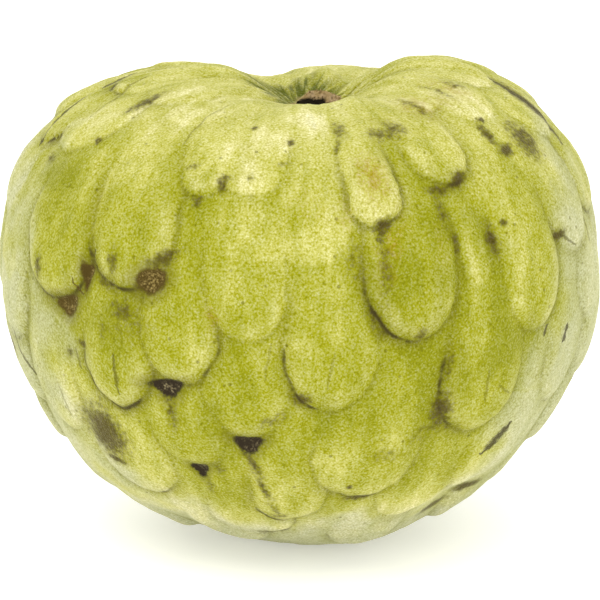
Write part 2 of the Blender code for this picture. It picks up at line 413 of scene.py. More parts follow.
def plan_object(name, rows, fields, **more):
    """A mesh with one vertex on the unit sphere for each row, which carries that row's numbers."""
    mesh = bpy.data.meshes.new(name)
    mesh.from_pydata([direction(row.azimuth, row.polar) for row in rows], [], [])
    numbers = {field: [getattr(row, field) for row in rows] for field in fields}
    for label, values in {**numbers, **more}.items():
        mesh.attributes.new(label, "FLOAT", "POINT").data.foreach_set("value", values)
    plan = bpy.data.objects.new(name, mesh)
    bpy.context.scene.collection.objects.link(plan)
    return plan


tongues = all_tongues()
tint_draw = random.Random(FINISH_SEED)
plans = {
    "scale": plan_object(
        "scale_plan",
        tongues,
        ("half_width", "length", "strength", "ink", "ink_side"),
        turn=[math.radians(tongue.lean) for tongue in tongues],
        tint=[tint_draw.random() for _ in tongues],
    )
}
print("scales:", len(tongues))

# %% [markdown]
# ## Scars, stains and soft areas
# Wind, branches and insects leave their marks on the skin: corky pits where three scales meet, a netted
# patch, brown smears and fine cracks. Washes are softer, and are partly the skin's own tone and partly
# painted light: one with a strength above 0 makes the skin greener, also as painted shade below tips and
# between scales, and one below 0 paler, also as painted highlights on the shoulders and near the top. Rust is
# a thin crust. Each is a place, a half length along the fruit, a half width across it, a turn and a strength.
# A plan mesh for each kind carries them, as it does the scales.

# %% The plan of the marks
Mark = namedtuple("Mark", "azimuth polar half_length half_width turn strength")
CORK_MARKS = [
    Mark(-26.0, 102.2, 0.0018, 0.0030, 8, 1.0),
    Mark(-10.6, 113.6, 0.0019, 0.0026, 0, 1.0),
    Mark(-22.6, 121.4, 0.0017, 0.0015, 0, 1.0),
    Mark(-28.8, 82.0, 0.0023, 0.0032, 25, 0.40),
    Mark(-49.0, 89.4, 0.0019, 0.0028, 20, 0.7),
    Mark(-43.8, 82.8, 0.0024, 0.0011, -10, 0.8),
]
STAIN_MARKS = [
    Mark(-26.6, 77.6, 0.0013, 0.0034, 35, 0.9),
    Mark(-44.7, 114.8, 0.0056, 0.0046, 25, 1.05),
    Mark(-43.2, 109.4, 0.0030, 0.0012, 0, 0.55),
    Mark(-38.7, 83.8, 0.0007, 0.0016, 0, 0.9),
    Mark(-36.9, 79.4, 0.0026, 0.0014, 0, 0.6),
    Mark(-57.0, 83.5, 0.0030, 0.0012, 0, 0.7),
    Mark(-35.0, 88.4, 0.0026, 0.0028, 0, 0.65),
    Mark(-34.0, 90.0, 0.0042, 0.0062, 0, 0.35),
    Mark(-45.7, 96.4, 0.0008, 0.0015, 0, 0.8),
    Mark(-39.3, 93.1, 0.0018, 0.0008, 10, 0.6),
    Mark(-25.9, 107.5, 0.0044, 0.0014, 0, 0.55),
    Mark(-44.7, 121.3, 0.0010, 0.0024, -20, 0.9),
    Mark(-49.5, 98.7, 0.0012, 0.0014, 0, 0.6),
    Mark(-21.5, 125.6, 0.0024, 0.0012, 8, 0.45),
    Mark(-56.5, 45.2, 0.0044, 0.0013, 0, 0.9),
    Mark(-55.2, 57.7, 0.0008, 0.0008, 0, 1.0),
    Mark(-68.5, 64.3, 0.0012, 0.0020, 0, 0.7),
    Mark(-17.3, 62.4, 0.0019, 0.0009, 0, 0.8),
    Mark(-16.8, 60.9, 0.0006, 0.0016, -15, 0.7),
    Mark(-21.8, 66.3, 0.0012, 0.0008, -30, 0.9),
    Mark(-22.6, 65.6, 0.0006, 0.0014, -20, 0.6),
    Mark(-25.2, 59.4, 0.0008, 0.0014, 20, 0.6),
    Mark(-14.6, 47.5, 0.0007, 0.0007, 0, 0.9),
    Mark(-3.4, 51.7, 0.0008, 0.0007, 0, 0.9),
    Mark(-4.5, 57.3, 0.0006, 0.0014, 10, 0.6),
    Mark(-11.2, 60.7, 0.0010, 0.0006, 0, 0.6),
    Mark(16.2, 70.7, 0.0012, 0.0018, 25, 1.0),
    Mark(15.6, 72.6, 0.0020, 0.0009, -15, 0.8),
    Mark(15.9, 79.0, 0.0066, 0.0014, 0, 0.48),
    Mark(10.0, 77.0, 0.0040, 0.0022, 0, 0.40),
    Mark(14.0, 88.5, 0.0034, 0.0014, 22, 0.60),
    Mark(22.6, 91.2, 0.0013, 0.0013, 0, 0.7),
    Mark(9.9, 48.0, 0.0034, 0.0012, 6, 0.65),
    Mark(8.6, 53.2, 0.0024, 0.0006, -8, 0.6),
    Mark(20.9, 50.2, 0.0021, 0.0023, 0, 0.65),
    Mark(25.3, 49.2, 0.0030, 0.0022, -10, 0.70),
    Mark(39.3, 42.0, 0.0046, 0.0010, 2, 0.65),
    Mark(62.0, 40.0, 0.0030, 0.0016, 0, 0.5),
    Mark(53.5, 39.6, 0.0040, 0.0008, 4, 0.6),
    Mark(53.7, 51.4, 0.0008, 0.0008, 0, 1.1),
    Mark(51.2, 54.9, 0.0028, 0.0012, 0, 0.9),
    Mark(53.4, 59.5, 0.0012, 0.0020, 10, 1.2),
    Mark(62.0, 58.6, 0.0044, 0.0034, 0, 0.85),
    Mark(35.3, 63.2, 0.0014, 0.0024, 30, 1.0),
    Mark(30.0, 64.8, 0.0010, 0.0028, -6, 0.8),
    Mark(29.4, 69.0, 0.0050, 0.0013, 8, 0.6),
    Mark(31.2, 75.5, 0.0026, 0.0007, 0, 0.7),
    Mark(39.7, 75.5, 0.0032, 0.0013, 10, 0.9),
    Mark(43.0, 73.1, 0.0007, 0.0008, 0, 1.1),
    Mark(58.8, 78.0, 0.0010, 0.0022, 0, 1.0),
    Mark(79.0, 53.0, 0.0080, 0.0022, -6, 0.8),
    Mark(82.0, 84.0, 0.0040, 0.0014, 0, 1.0),
    Mark(28.8, 98.4, 0.0034, 0.0008, -14, 0.6),
    Mark(28.4, 107.4, 0.0040, 0.0020, 0, 0.90),
    Mark(26.6, 112.0, 0.0022, 0.0044, 25, 0.42),
    Mark(31.0, 112.0, 0.0016, 0.0030, 0, 0.42),
    Mark(17.9, 116.4, 0.0018, 0.0030, 0, 0.42),
    Mark(0.2, 103.0, 0.0014, 0.0017, 0, 0.95),
    Mark(-5.0, 107.6, 0.0012, 0.0036, 25, 0.50),
    Mark(13.9, 129.0, 0.0009, 0.0026, 6, 0.9),
    Mark(11.2, 124.4, 0.0006, 0.0006, 0, 1.0),
    Mark(-5.2, 133.6, 0.0009, 0.0016, 20, 0.8),
    Mark(-9.0, 142.6, 0.0012, 0.0028, 10, 0.9),
    Mark(-10.0, 118.6, 0.0038, 0.0009, 22, 0.85),
    Mark(-8.3, 125.0, 0.0042, 0.0008, 22, 0.75),
    Mark(-6.4, 131.0, 0.0034, 0.0007, 26, 0.6),
    Mark(-18.0, 120.5, 0.0026, 0.0014, 0, 0.45),
    Mark(60.0, 137.0, 0.0034, 0.0013, -60, 1.0),
    Mark(50.0, 143.0, 0.0034, 0.0013, -62, 1.0),
    Mark(-79.4, 103.4, 0.0022, 0.0030, -30, 0.9),
]
CRACK_MARKS = [
    Mark(46.3, 116.9, 0.0040, 0.0008, -44, 1.0),
    Mark(60.6, 97.1, 0.0018, 0.0007, -20, 1.0),
    Mark(53.6, 95.2, 0.0012, 0.0004, -20, 0.9),
    Mark(-36.4, 100.4, 0.0036, 0.00034, 6, 0.7),
    Mark(37.8, 103.2, 0.0030, 0.00026, 0, 0.45),
    Mark(42.3, 104.5, 0.0020, 0.00020, 55, 0.5),
    Mark(-6.0, 95.8, 0.0034, 0.00022, -10, 0.35),
    Mark(5.7, 97.4, 0.0032, 0.00022, -10, 0.35),
    Mark(-54.1, 109.1, 0.0040, 0.00020, 8, 0.5),
    Mark(-47.1, 99.6, 0.0020, 0.00030, 10, 0.6),
    Mark(-31.0, 46.0, 0.0078, 0.00022, 0, 0.45),
    Mark(-84.0, 51.0, 0.0130, 0.0005, 27, 0.9),
    Mark(-72.0, 46.0, 0.0080, 0.0003, 30, 0.5),
    Mark(79.0, 53.5, 0.0088, 0.0009, -6, 0.9),
    Mark(62.0, 79.6, 0.0030, 0.00022, 60, 0.7),
    Mark(72.5, 79.0, 0.0034, 0.00030, 8, 0.7),
    Mark(-69.0, 103.6, 0.0060, 0.00035, 32, 0.8),
]
# washes: partly the skin's own tone; above 0 also painted shade, below 0 also painted highlights
TONE_AND_LIGHT_WASHES = [
    Mark(-60.0, 66.5, 0.0030, 0.0064, 0, 0.90),
    Mark(-48.5, 80.0, 0.0080, 0.0050, 0, 0.20),
    Mark(-43.6, 74.0, 0.0110, 0.0030, 0, 0.30),
    Mark(-35.0, 74.0, 0.0080, 0.0070, 0, 0.35),
    Mark(-23.6, 67.0, 0.0046, 0.0042, 0, 0.80),
    Mark(-1.5, 68.0, 0.0100, 0.0060, 0, 0.35),
    Mark(8.6, 65.0, 0.0070, 0.0022, 0, -0.35),
    Mark(15.5, 81.0, 0.0090, 0.0040, 0, 0.50),
    Mark(15.5, 67.0, 0.0050, 0.0040, 0, -0.40),
    Mark(28.7, 69.0, 0.0080, 0.0042, 0, 0.70),
    Mark(37.0, 74.5, 0.0100, 0.0034, 10, 0.45),
    Mark(42.0, 86.0, 0.0140, 0.0020, 0, 0.20),
    Mark(54.0, 72.0, 0.0100, 0.0030, 8, 0.50),
    Mark(46.6, 96.0, 0.0040, 0.0070, 0, 0.55),
    Mark(31.5, 86.0, 0.0160, 0.0018, 0, 0.40),
    Mark(22.0, 95.0, 0.0040, 0.0090, 0, 0.35),
    Mark(23.0, 82.0, 0.0090, 0.0050, 0, 0.30),
    Mark(-35.0, 88.5, 0.0060, 0.0070, 0, 0.50),
    Mark(-36.0, 98.0, 0.0070, 0.0060, 0, 0.15),
    Mark(-14.0, 104.0, 0.0080, 0.0040, 0, 0.30),
    Mark(13.0, 106.0, 0.0060, 0.0090, 0, 0.45),
    Mark(5.5, 109.5, 0.0050, 0.0030, 0, 0.40),
    Mark(3.6, 92.5, 0.0060, 0.0050, 0, 0.22),
    Mark(-31.0, 61.0, 0.0060, 0.0050, 0, 0.20),
    Mark(-78.8, 44.0, 0.0046, 0.0044, 0, 0.70),
    Mark(27.0, 104.0, 0.0080, 0.0030, 0, 0.60),
    Mark(-18.0, 128.0, 0.0050, 0.0050, 0, 0.20),
    Mark(-42.0, 47.0, 0.0110, 0.0110, 0, -0.45),
    Mark(50.0, 42.0, 0.0110, 0.0120, 0, -0.20),
    Mark(3.4, 46.0, 0.0060, 0.0050, 0, -0.50),
    Mark(-13.0, 58.0, 0.0070, 0.0060, 0, -0.20),
    Mark(-12.0, 82.0, 0.0120, 0.0040, 0, -0.30),
    Mark(-1.0, 79.0, 0.0110, 0.0060, 0, -0.38),
    Mark(-5.0, 103.0, 0.0100, 0.0080, 0, -0.25),
    Mark(36.0, 99.0, 0.0100, 0.0060, 0, 0.30),
    Mark(51.0, 84.0, 0.0110, 0.0060, 0, 0.15),
    Mark(33.0, 75.0, 0.0120, 0.0016, 10, -0.45),
    Mark(44.8, 84.0, 0.0130, 0.0020, 0, -0.50),
    Mark(42.0, 66.0, 0.0060, 0.0030, 0, -0.35),
    Mark(62.0, 87.0, 0.0140, 0.0040, 0, -0.20),
    Mark(76.0, 92.0, 0.0140, 0.0070, 0, -0.60),
    Mark(-78.0, 84.0, 0.0200, 0.0070, 0, -0.45),
    Mark(-52.0, 110.0, 0.0110, 0.0070, 0, -0.50),
    Mark(-48.0, 122.0, 0.0100, 0.0080, 0, -0.25),
    Mark(-62.0, 126.0, 0.0100, 0.0080, 0, -0.80),
    Mark(-40.0, 140.0, 0.0050, 0.0140, 0, -0.70),
    Mark(0.0, 142.0, 0.0070, 0.0240, 0, -0.85),
    Mark(56.0, 122.0, 0.0110, 0.0090, 0, -0.45),
    Mark(62.0, 108.0, 0.0090, 0.0050, 0, -0.40),
    Mark(38.0, 133.0, 0.0060, 0.0100, 0, -0.50),
    Mark(12.0, 117.0, 0.0060, 0.0070, 0, -0.05),
    Mark(-4.0, 123.0, 0.0070, 0.0060, 0, -0.30),
    Mark(-28.0, 124.0, 0.0060, 0.0080, 0, -0.30),
    Mark(-38.0, 106.0, 0.0050, 0.0060, 0, -0.20),
]
RUST_MARKS = [
    Mark(15.4, 61.0, 0.0056, 0.0034, 6, 1.0),
    Mark(17.9, 73.7, 0.0034, 0.0020, 0, 0.9),
    Mark(15.9, 78.0, 0.0050, 0.0024, 8, 0.6),
    Mark(20.0, 70.0, 0.0040, 0.0030, 0, 0.4),
    Mark(9.0, 68.0, 0.0040, 0.0020, 0, 0.6),
    Mark(1.0, 66.0, 0.0040, 0.0040, 0, 0.4),
    Mark(40.0, 42.0, 0.0060, 0.0040, 0, 0.9),
    Mark(48.0, 43.0, 0.0050, 0.0040, 0, 0.6),
    Mark(58.0, 40.0, 0.0060, 0.0030, 0, 0.8),
    Mark(-16.2, 87.6, 0.0024, 0.0012, 20, 1.0),
    Mark(22.0, 46.0, 0.0040, 0.0050, 0, 0.4),
    Mark(-34.0, 20.0, 0.0040, 0.0050, 0, 0.4),
    Mark(28.0, 75.0, 0.0050, 0.0020, 0, 0.4),
]
MARK_FIELDS = ("half_length", "half_width", "strength")
MARK_KINDS = {
    "cork": CORK_MARKS,
    "stain": STAIN_MARKS,
    "crack": CRACK_MARKS,
    "wash": TONE_AND_LIGHT_WASHES,
    "rust": RUST_MARKS,
}
for kind, marks in MARK_KINDS.items():
    turns = [math.radians(mark.turn) for mark in marks]
    plans[kind] = plan_object(kind + "_plan", marks, MARK_FIELDS, turn=turns)
    print(kind, "marks:", len(marks))

# %% [markdown]
# ## Reading and writing on the mesh
# The tree keeps what it works out as named attributes of the mesh, because the material reads them later.
# A repeat zone walks along a plan: on each turn it takes one scale or mark, and every point of the skin
# works out what that one does to it.

# %% Helpers for attributes and for the repeat zone
KINDS = {"FLOAT": "FLOAT", "VECTOR": "FLOAT_VECTOR"}


def store(shape, name, value, kind="FLOAT"):
    """Writes a named attribute on every point."""
    inputs = {"Geometry": shape, "Name": name, "Value": value}
    return output_of(shape.tree, "GeometryNodeStoreNamedAttribute", inputs, data_type=KINDS[kind])


def stored(tree, name, kind="FLOAT"):
    """Reads a named attribute."""
    return output_of(tree, "GeometryNodeInputNamedAttribute", {"Name": name}, data_type=KINDS[kind])


def choose(question, if_no, if_yes):
    """One of two numbers for each point."""
    return if_no + question * (if_yes - if_no)


def keep_if(shape, question, name, value):
    """Gives an attribute the value where the answer is yes."""
    return store(shape, name, choose(question, stored(shape.tree, name), value))


def keep_most(shape, name, value):
    """Gives an attribute the value where the value is greater."""
    return store(shape, name, maths("MAXIMUM", stored(shape.tree, name), value))


def keep_least(shape, name, value):
    """Gives an attribute the value where the value is smaller."""
    return store(shape, name, maths("MINIMUM", stored(shape.tree, name), value))


def pick(plan, name, turn, kind="FLOAT"):
    """One vertex's attribute of a plan: the vertex with the number of this turn."""
    inputs = {"Geometry": plan, "Index": turn, "Value": stored(plan.tree, name, kind)}
    return output_of(plan.tree, "GeometryNodeSampleIndex", inputs, data_type=KINDS[kind])


def each_turn(shape, plan, step):
    """A repeat zone that calls step once for each vertex of the plan."""
    count = output_of(plan.tree, "GeometryNodeAttributeDomainSize", {"Geometry": plan}, "Point Count")
    start = add_node(shape.tree, "GeometryNodeRepeatInput")
    end = add_node(shape.tree, "GeometryNodeRepeatOutput")
    start.pair_with_output(end)
    feed(start.inputs["Iterations"], count)
    feed(start.inputs["Geometry"], shape)
    inside = Wire(start.outputs["Geometry"])
    feed(end.inputs["Geometry"], step(inside, plan, Wire(start.outputs["Iteration"])))
    return Wire(end.outputs["Geometry"])


def object_plan(tree, plan):
    """The plan's geometry inside a tree."""
    return output_of(tree, "GeometryNodeObjectInfo", {"Object": plan}, "Geometry")


def position(tree):
    """Where each point is now."""
    return output_of(tree, "GeometryNodeInputPosition")


def move_to(shape, place):
    """Moves every point."""
    return output_of(shape.tree, "GeometryNodeSetPosition", {"Geometry": shape, "Position": place})


# %% [markdown]
# ## Laying a plan on the body
# Each vertex of a plan is only a direction at first. It is put on the body here, with three arrows: `down`
# along the fruit, `across` it, and `out` of the skin. A scale's lean or a mark's turn swings the first two.

# %% Arrows at each vertex of a plan
FRAME_STEP = math.radians(0.5)
SAME_SIDE = 0.016


def lay_on_body(plan):
    """The plan with its points' places on the body and their arrows."""
    tree = plan.tree
    way = position(tree)
    x, y, z = split(way)
    level = maths("MAXIMUM", hypot(x, y), TINY)
    lower_way = arrows("ADD", way, arrows("SCALE", join(x * z / level, y * z / level, -level), FRAME_STEP))
    side_way = arrows("ADD", way, arrows("SCALE", join(-(y / level), x / level, 0.0), FRAME_STEP))
    tip = on_body(way)
    lower = on_body(arrows("NORMALIZE", lower_way))
    side = on_body(arrows("NORMALIZE", side_way))
    down = arrows("NORMALIZE", arrows("SUBTRACT", lower, tip))
    out = arrows("NORMALIZE", arrows("CROSS_PRODUCT", down, arrows("SUBTRACT", side, tip)))
    across = arrows("CROSS_PRODUCT", out, down)
    turn = stored(tree, "turn")
    cosine, sine = maths("COSINE", turn), maths("SINE", turn)
    turned_down = arrows("ADD", arrows("SCALE", down, cosine), arrows("SCALE", across, sine))
    turned_across = arrows("SUBTRACT", arrows("SCALE", across, cosine), arrows("SCALE", down, sine))
    for name, arrow in {"tip": tip, "out": out, "down": turned_down, "across": turned_across}.items():
        plan = store(plan, name, arrow, "VECTOR")
    return plan


def local_place(place, plan, turn):
    """How far a place is beside and above this turn's tip, and if it is on the same side of the fruit."""
    from_tip = arrows("SUBTRACT", place, pick(plan, "tip", turn, "VECTOR"))
    ways = [pick(plan, name, turn, "VECTOR") for name in ("across", "down", "out")]
    beside, below, outward = (arrows("DOT_PRODUCT", from_tip, way) for way in ways)
    return beside, -below, maths("GREATER_THAN", outward, -SAME_SIDE)


# %% [markdown]
# ## One scale
# Seen flat, a scale is a long tongue with a half-round end. It is thickest at the tip and thins out upwards,
# its rim is sharp at the tip and soft along the sides, and it is a little dished behind the rim. The skin is
# the highest of all the scales at each point, as with tiles. Each point also remembers which scale won and
# how far up that scale it lies. The places that the formula reads are bent a little by a noise, so that no
# two outlines are alike.

# %% First pass: raise the scales
TIP_ROUNDNESS = 1.15
TIP_SHARPNESS = 5.0
SIDE_SHARPNESS = 1.8
SIDE_SOFTNESS = 1.0
TAPER = 0.25
LIFT = 0.0015
LIFT_AT_STALK = 0.0009
LIFT_BAND = (25.0, 75.0)
DISH_DEPTH = 0.00035
DISH_WIDTH = 0.5
DISH_LENGTH = 0.7
FLOOR = -0.0005
ROOT_START = 0.35
Bend = namedtuple("Bend", "size reach")
BENDS = [Bend(0.016, 0.0034), Bend(0.005, 0.0011)]
OUTLINE_PARTS = "beside above half_width length round_end upper width edge ramp thickness here"
Outline = namedtuple("Outline", OUTLINE_PARTS)


def bent(place):
    """The place, shifted a little by two noises."""
    shifted = place
    for bend in BENDS:
        wander = arrows("SUBTRACT", noise(place, bend.size, output=1), (NOISE_MIDDLE,) * 3)
        shifted = arrows("ADD", shifted, arrows("SCALE", wander, bend.reach))
    return shifted


def tongue_outline(shape, plan, turn):
    """What both passes need of this turn's scale: place, outline and thickness."""
    beside, above, here = local_place(stored(shape.tree, "bent", "VECTOR"), plan, turn)
    half_width, length = pick(plan, "half_width", turn), pick(plan, "length", turn)
    round_end = TIP_ROUNDNESS * half_width
    upper = smooth(above, round_end, length)
    width = half_width * (1.0 - TAPER * upper)
    edge = hypot(beside / width, maths("MAXIMUM", 0.0, round_end - above) / round_end)
    ramp = clamp(1.0 - above / length)
    thickness = pick(plan, "lift", turn) * ramp
    return Outline(beside, above, half_width, length, round_end, upper, width, edge, ramp, thickness, here)


def raise_scale(shape, plan, turn):
    """The highest scale at each point, and what it is."""
    scale = tongue_outline(shape, plan, turn)
    sharpness = TIP_SHARPNESS + (SIDE_SHARPNESS - TIP_SHARPNESS) * scale.upper
    root = 1.0 - smooth(scale.above, ROOT_START * scale.length, scale.length)
    dish = bell(scale.beside, DISH_WIDTH * scale.half_width)
    dish = dish * bell(scale.above - scale.round_end, DISH_LENGTH * scale.round_end)
    profile = 1.0 - maths("MINIMUM", scale.edge, 1.0) ** sharpness
    profile = maths("MAXIMUM", profile, 0.0) ** (1.0 + SIDE_SOFTNESS * scale.upper)
    crown = (scale.thickness - FLOOR * root) * profile
    height = FLOOR + pick(plan, "strength", turn) * (crown - DISH_DEPTH * dish)
    inside = maths("LESS_THAN", scale.edge, 1.0) * maths("GREATER_THAN", scale.ramp, 0.0) * scale.here
    height = choose(inside, FLOOR, height)
    wins = maths("GREATER_THAN", height, stored(shape.tree, "scale_height"))
    shape = keep_if(shape, wins, "along", scale.above / scale.length)
    shape = keep_if(shape, wins, "tint", pick(plan, "tint", turn))
    return keep_most(shape, "scale_height", height)


# %% [markdown]
# Under a tip the skin is in the lee, where painted shade turns it olive green, and there is often a thin
# corky line right at the rim. The second pass finds where that is. It only counts a rim where it stands over
# the skin next to it. For the thin line it keeps the signed distance to the nearest rim, so that the material
# can draw the line sharper than the mesh is fine.

# %% Second pass: find the painted shade in the lee of the rims
FAR = 0.006
GATE = 0.0006
LEE_SHADE_REACH = 0.0024
LEE_SHADE_START = 0.0006
LOW_END = (0.3, 0.85)
INK_SPREAD = 0.9
INK_SHADE_REACH = 0.0013


def find_rim(shape, plan, turn):
    """The painted shade in the lee below each rim, and the distance to the nearest one."""
    tree = shape.tree
    scale = tongue_outline(shape, plan, turn)
    distance = (scale.edge - 1.0) * scale.width
    crown = FLOOR + pick(plan, "strength", turn) * (scale.thickness - FLOOR)
    stands_over = clamp((crown - stored(tree, "scale_height")) / GATE)
    start, end = LOW_END
    low_end = 1.0 - smooth(scale.above, start * scale.length, end * scale.length)
    hold = stands_over * low_end * scale.here
    off_side = scale.beside / scale.width - pick(plan, "ink_side", turn)
    ink = pick(plan, "ink", turn) * bell(off_side, INK_SPREAD)
    # painted shade: strongest just below a tip's rim, and fading over a few millimetres
    lee = hold * bell(maths("MAXIMUM", distance, 0.0), LEE_SHADE_REACH) * smooth(distance, -LEE_SHADE_START, 0.0)
    shape = keep_most(shape, "lee", lee)
    # painted shade along a corky rim line, as strong as the line's ink
    shape = keep_most(shape, "smudge", ink * hold * bell(distance, INK_SHADE_REACH))
    score = maths("ABSOLUTE", distance) + (1.0 - hold) * FAR
    nearer = maths("LESS_THAN", score, stored(tree, "rim_score"))
    shape = keep_if(shape, nearer, "rim_distance", distance)
    shape = keep_if(shape, nearer, "rim_ink", ink * hold)
    return keep_least(shape, "rim_score", score)


# %% [markdown]
# ## One mark
# A corky pit has three blunt corners, because it lies between three scales, and a faint corky patch is round.
# A crack is a thin line that wanders a little. For both, each point keeps its place in the mark's own
# measure, across and along, and the material draws the outline from that. Stains, washes and rust are soft
# ovals, so one number at each point is enough for them.

# %% The passes over the marks
CRACK_GROOVE = 0.0011
CRACK_DEPTH = 0.00008
CRACK_WANDER = 0.06
CRACK_WAVE = 0.7
CRACK_NEAR = 0.002
OTHER_SIDE = 100.0


def mark_place(shape, plan, turn):
    """Place in the mark's own measure, where 1 is the mark's half width or half length."""
    beside, above, here = local_place(position(shape.tree), plan, turn)
    return beside / pick(plan, "half_width", turn), above / pick(plan, "half_length", turn), here


def keep_nearest(shape, plan, turn, kind, reach, u, v):
    """Keeps the place in this turn's mark, and its strength, where no other mark of its kind is nearer."""
    nearer = maths("LESS_THAN", reach, stored(shape.tree, kind + "_reach"))
    shape = keep_if(shape, nearer, kind + "_u", u)
    shape = keep_if(shape, nearer, kind + "_v", v)
    shape = keep_if(shape, nearer, kind + "_tone", pick(plan, "strength", turn))
    return keep_least(shape, kind + "_reach", reach)


def add_cork(shape, plan, turn):
    """Place in the nearest corky mark."""
    u, v, here = mark_place(shape, plan, turn)
    return keep_nearest(shape, plan, turn, "cork", hypot(u, v) + (1.0 - here) * OTHER_SIDE, u, v)


def add_crack(shape, plan, turn):
    """Place in the nearest crack, and the soft groove along all of them."""
    place = position(shape.tree)
    beside, above, here = local_place(place, plan, turn)
    half_length = pick(plan, "half_length", turn)
    beside = beside + CRACK_WANDER * half_length * uneven(place, CRACK_WAVE * half_length)
    v = above / half_length
    groove = bell(beside, CRACK_GROOVE) * clamp(1.0 - v * v) * here * pick(plan, "strength", turn)
    shape = keep_most(shape, "groove", groove)
    reach = maths("ABSOLUTE", beside) / CRACK_NEAR + maths("ABSOLUTE", v) + (1.0 - here) * OTHER_SIDE
    return keep_nearest(shape, plan, turn, "crack", reach, beside / pick(plan, "half_width", turn), v)


def soft_oval(shape, plan, turn):
    """This turn's mark as a soft oval: its strength in the middle, and nothing far off."""
    u, v, here = mark_place(shape, plan, turn)
    return pick(plan, "strength", turn) * bell(hypot(u, v), 1.0) * here


def add_stain(shape, plan, turn):
    """Strength of the soft stains."""
    return keep_most(shape, "stain", soft_oval(shape, plan, turn))


def add_tone_and_light_wash(shape, plan, turn):
    """Sum of the soft washes: above 0 is greener, also as painted shade, and below 0 is paler, also as
    painted highlight.
    """
    return store(shape, "wash", stored(shape.tree, "wash") + soft_oval(shape, plan, turn))


def add_rust(shape, plan, turn):
    """Strength of the rusty areas."""
    return keep_most(shape, "rust", soft_oval(shape, plan, turn))


# %% [markdown]
# ## Folds, the stalk's socket, wrinkles and lumps
# From the stalk, soft folds run out over the shoulders, with finer flutes close to the stalk. The stalk
# leaves a round socket with a raised rim, and the corky scar itself is a piece of its own. Wrinkles follow
# the fruit's length, so their noise is read round the girth and stretched along it. A real skin is never as
# even as a formula, so low lumps come on top.

# %% The rest of the relief
FOLDS = 13
FOLD_HEIGHT = 0.00045
FOLD_WANDER = 1.1
FOLD_WAVES = 3.0
FOLD_PHASE = 0.7
FOLD_BAND = (6.0, 18.0, 34.0, 58.0)
FLUTES = 31
FLUTE_HEIGHT = 0.00013
FLUTE_BAND = (8.0, 12.0, 18.0, 30.0)
RING_RADIUS = 0.0034
RING_THICKNESS = 0.0010
RING_HEIGHT = 0.0015
RING_FRONT_DROP = 0.9
RING_DROP_SLANT = 1.0
RING_DROP_BAND = (-0.0015, 0.0034)
PIT_RADIUS = 0.0026
PIT_SOFTNESS = 0.0007
PIT_DEPTH = 0.0036
PIT_OFFSET = (-0.0010, -0.0006)
CORNERS = 3.0
CORNER_DEPTH = 0.20
ROUND_TONES = (0.5, 0.8)


def stalk_folds(way, polar):
    """Soft folds and finer flutes that radiate from the stalk, and die out over the shoulders."""
    x, y, _ = split(way)
    azimuth = maths("ARCTAN2", x, -y)
    wander = FOLD_WANDER * maths("SINE", FOLD_WAVES * azimuth + FOLD_PHASE)
    total = 0.0
    for count, height, band in ((FOLDS, FOLD_HEIGHT, FOLD_BAND), (FLUTES, FLUTE_HEIGHT, FLUTE_BAND)):
        start, full, fading, end = band
        reach = smooth(polar, start, full) * (1.0 - smooth(polar, fading, end))
        total = total + height * reach * maths("COSINE", count * azimuth + wander)
    return total


def off_axis(place):
    """How far a place is from the stalk's axis."""
    x, y, _ = split(place)
    return hypot(x - STALK_OFFSET, y)


def stalk_ring(place):
    """The raised ring that the stalk leaves, low at its front left, and the socket inside it."""
    x, y, z = split(place)
    front = smooth(-y - RING_DROP_SLANT * (x - STALK_OFFSET), *RING_DROP_BAND)
    ring = RING_HEIGHT * bell(off_axis(place) - RING_RADIUS, RING_THICKNESS) * (1.0 - RING_FRONT_DROP * front)
    off_pit = hypot(x - STALK_OFFSET - PIT_OFFSET[0], y - PIT_OFFSET[1])
    pit = PIT_DEPTH * (1.0 - smooth(off_pit, PIT_RADIUS - PIT_SOFTNESS, PIT_RADIUS + PIT_SOFTNESS))
    return maths("GREATER_THAN", z, 0.0) * (ring - pit)


def girth_place(way):
    """A place for noises that run along the fruit: once round the girth is 2 pi, end to end is about 1."""
    x, y, _ = split(way)
    level = maths("MAXIMUM", hypot(x, y), TINY)
    return join(x / level, y / level, polar_of(way) / 180.0)


def cork_depth_share(u, v, tone):
    """1 in the middle of a corky mark, 0 on its outline and below 0 outside it."""
    corner_depth = CORNER_DEPTH * smooth(tone, *ROUND_TONES)
    corners = 1.0 + corner_depth * maths("COSINE", CORNERS * maths("ARCTAN2", u, v))
    return 1.0 - hypot(u, v) * corners


# %% [markdown]
# ## The skin's tree
# It starts from a cube of small squares that is blown up to a ball, because a ball made that way has even
# squares and no poles. The squares' corners go to the bare body, the passes above run over them, and at the
# end every point moves out by its relief. What would be below the resting plane is laid on it. Blurring the
# relief and comparing shows which places are hollow and which are raised, and the material uses that too: it
# paints shade into the hollows and makes the raised places paler.

# %% All the relief together
BLOSSOM_FADE = (157.0, 166.0)
STALK_FADE = (24.0, 60.0)
SINK_UNDER_SCAR = 0.0007
SINK_BAND = (0.0029, 0.0037)
WRINKLE_HEIGHT = 0.00026
WRINKLE_SIZE = 0.13
FINE_WRINKLE_HEIGHT = 0.00012
FINE_WRINKLE_SIZE = 0.05
WRINKLE_START = (8.0, 16.0)
WRINKLE_FADE = (45.0, 100.0)
WRINKLE_LOSS = 0.6
CORK_DEPTH = 0.00040
CORK_SLOPE = 0.5


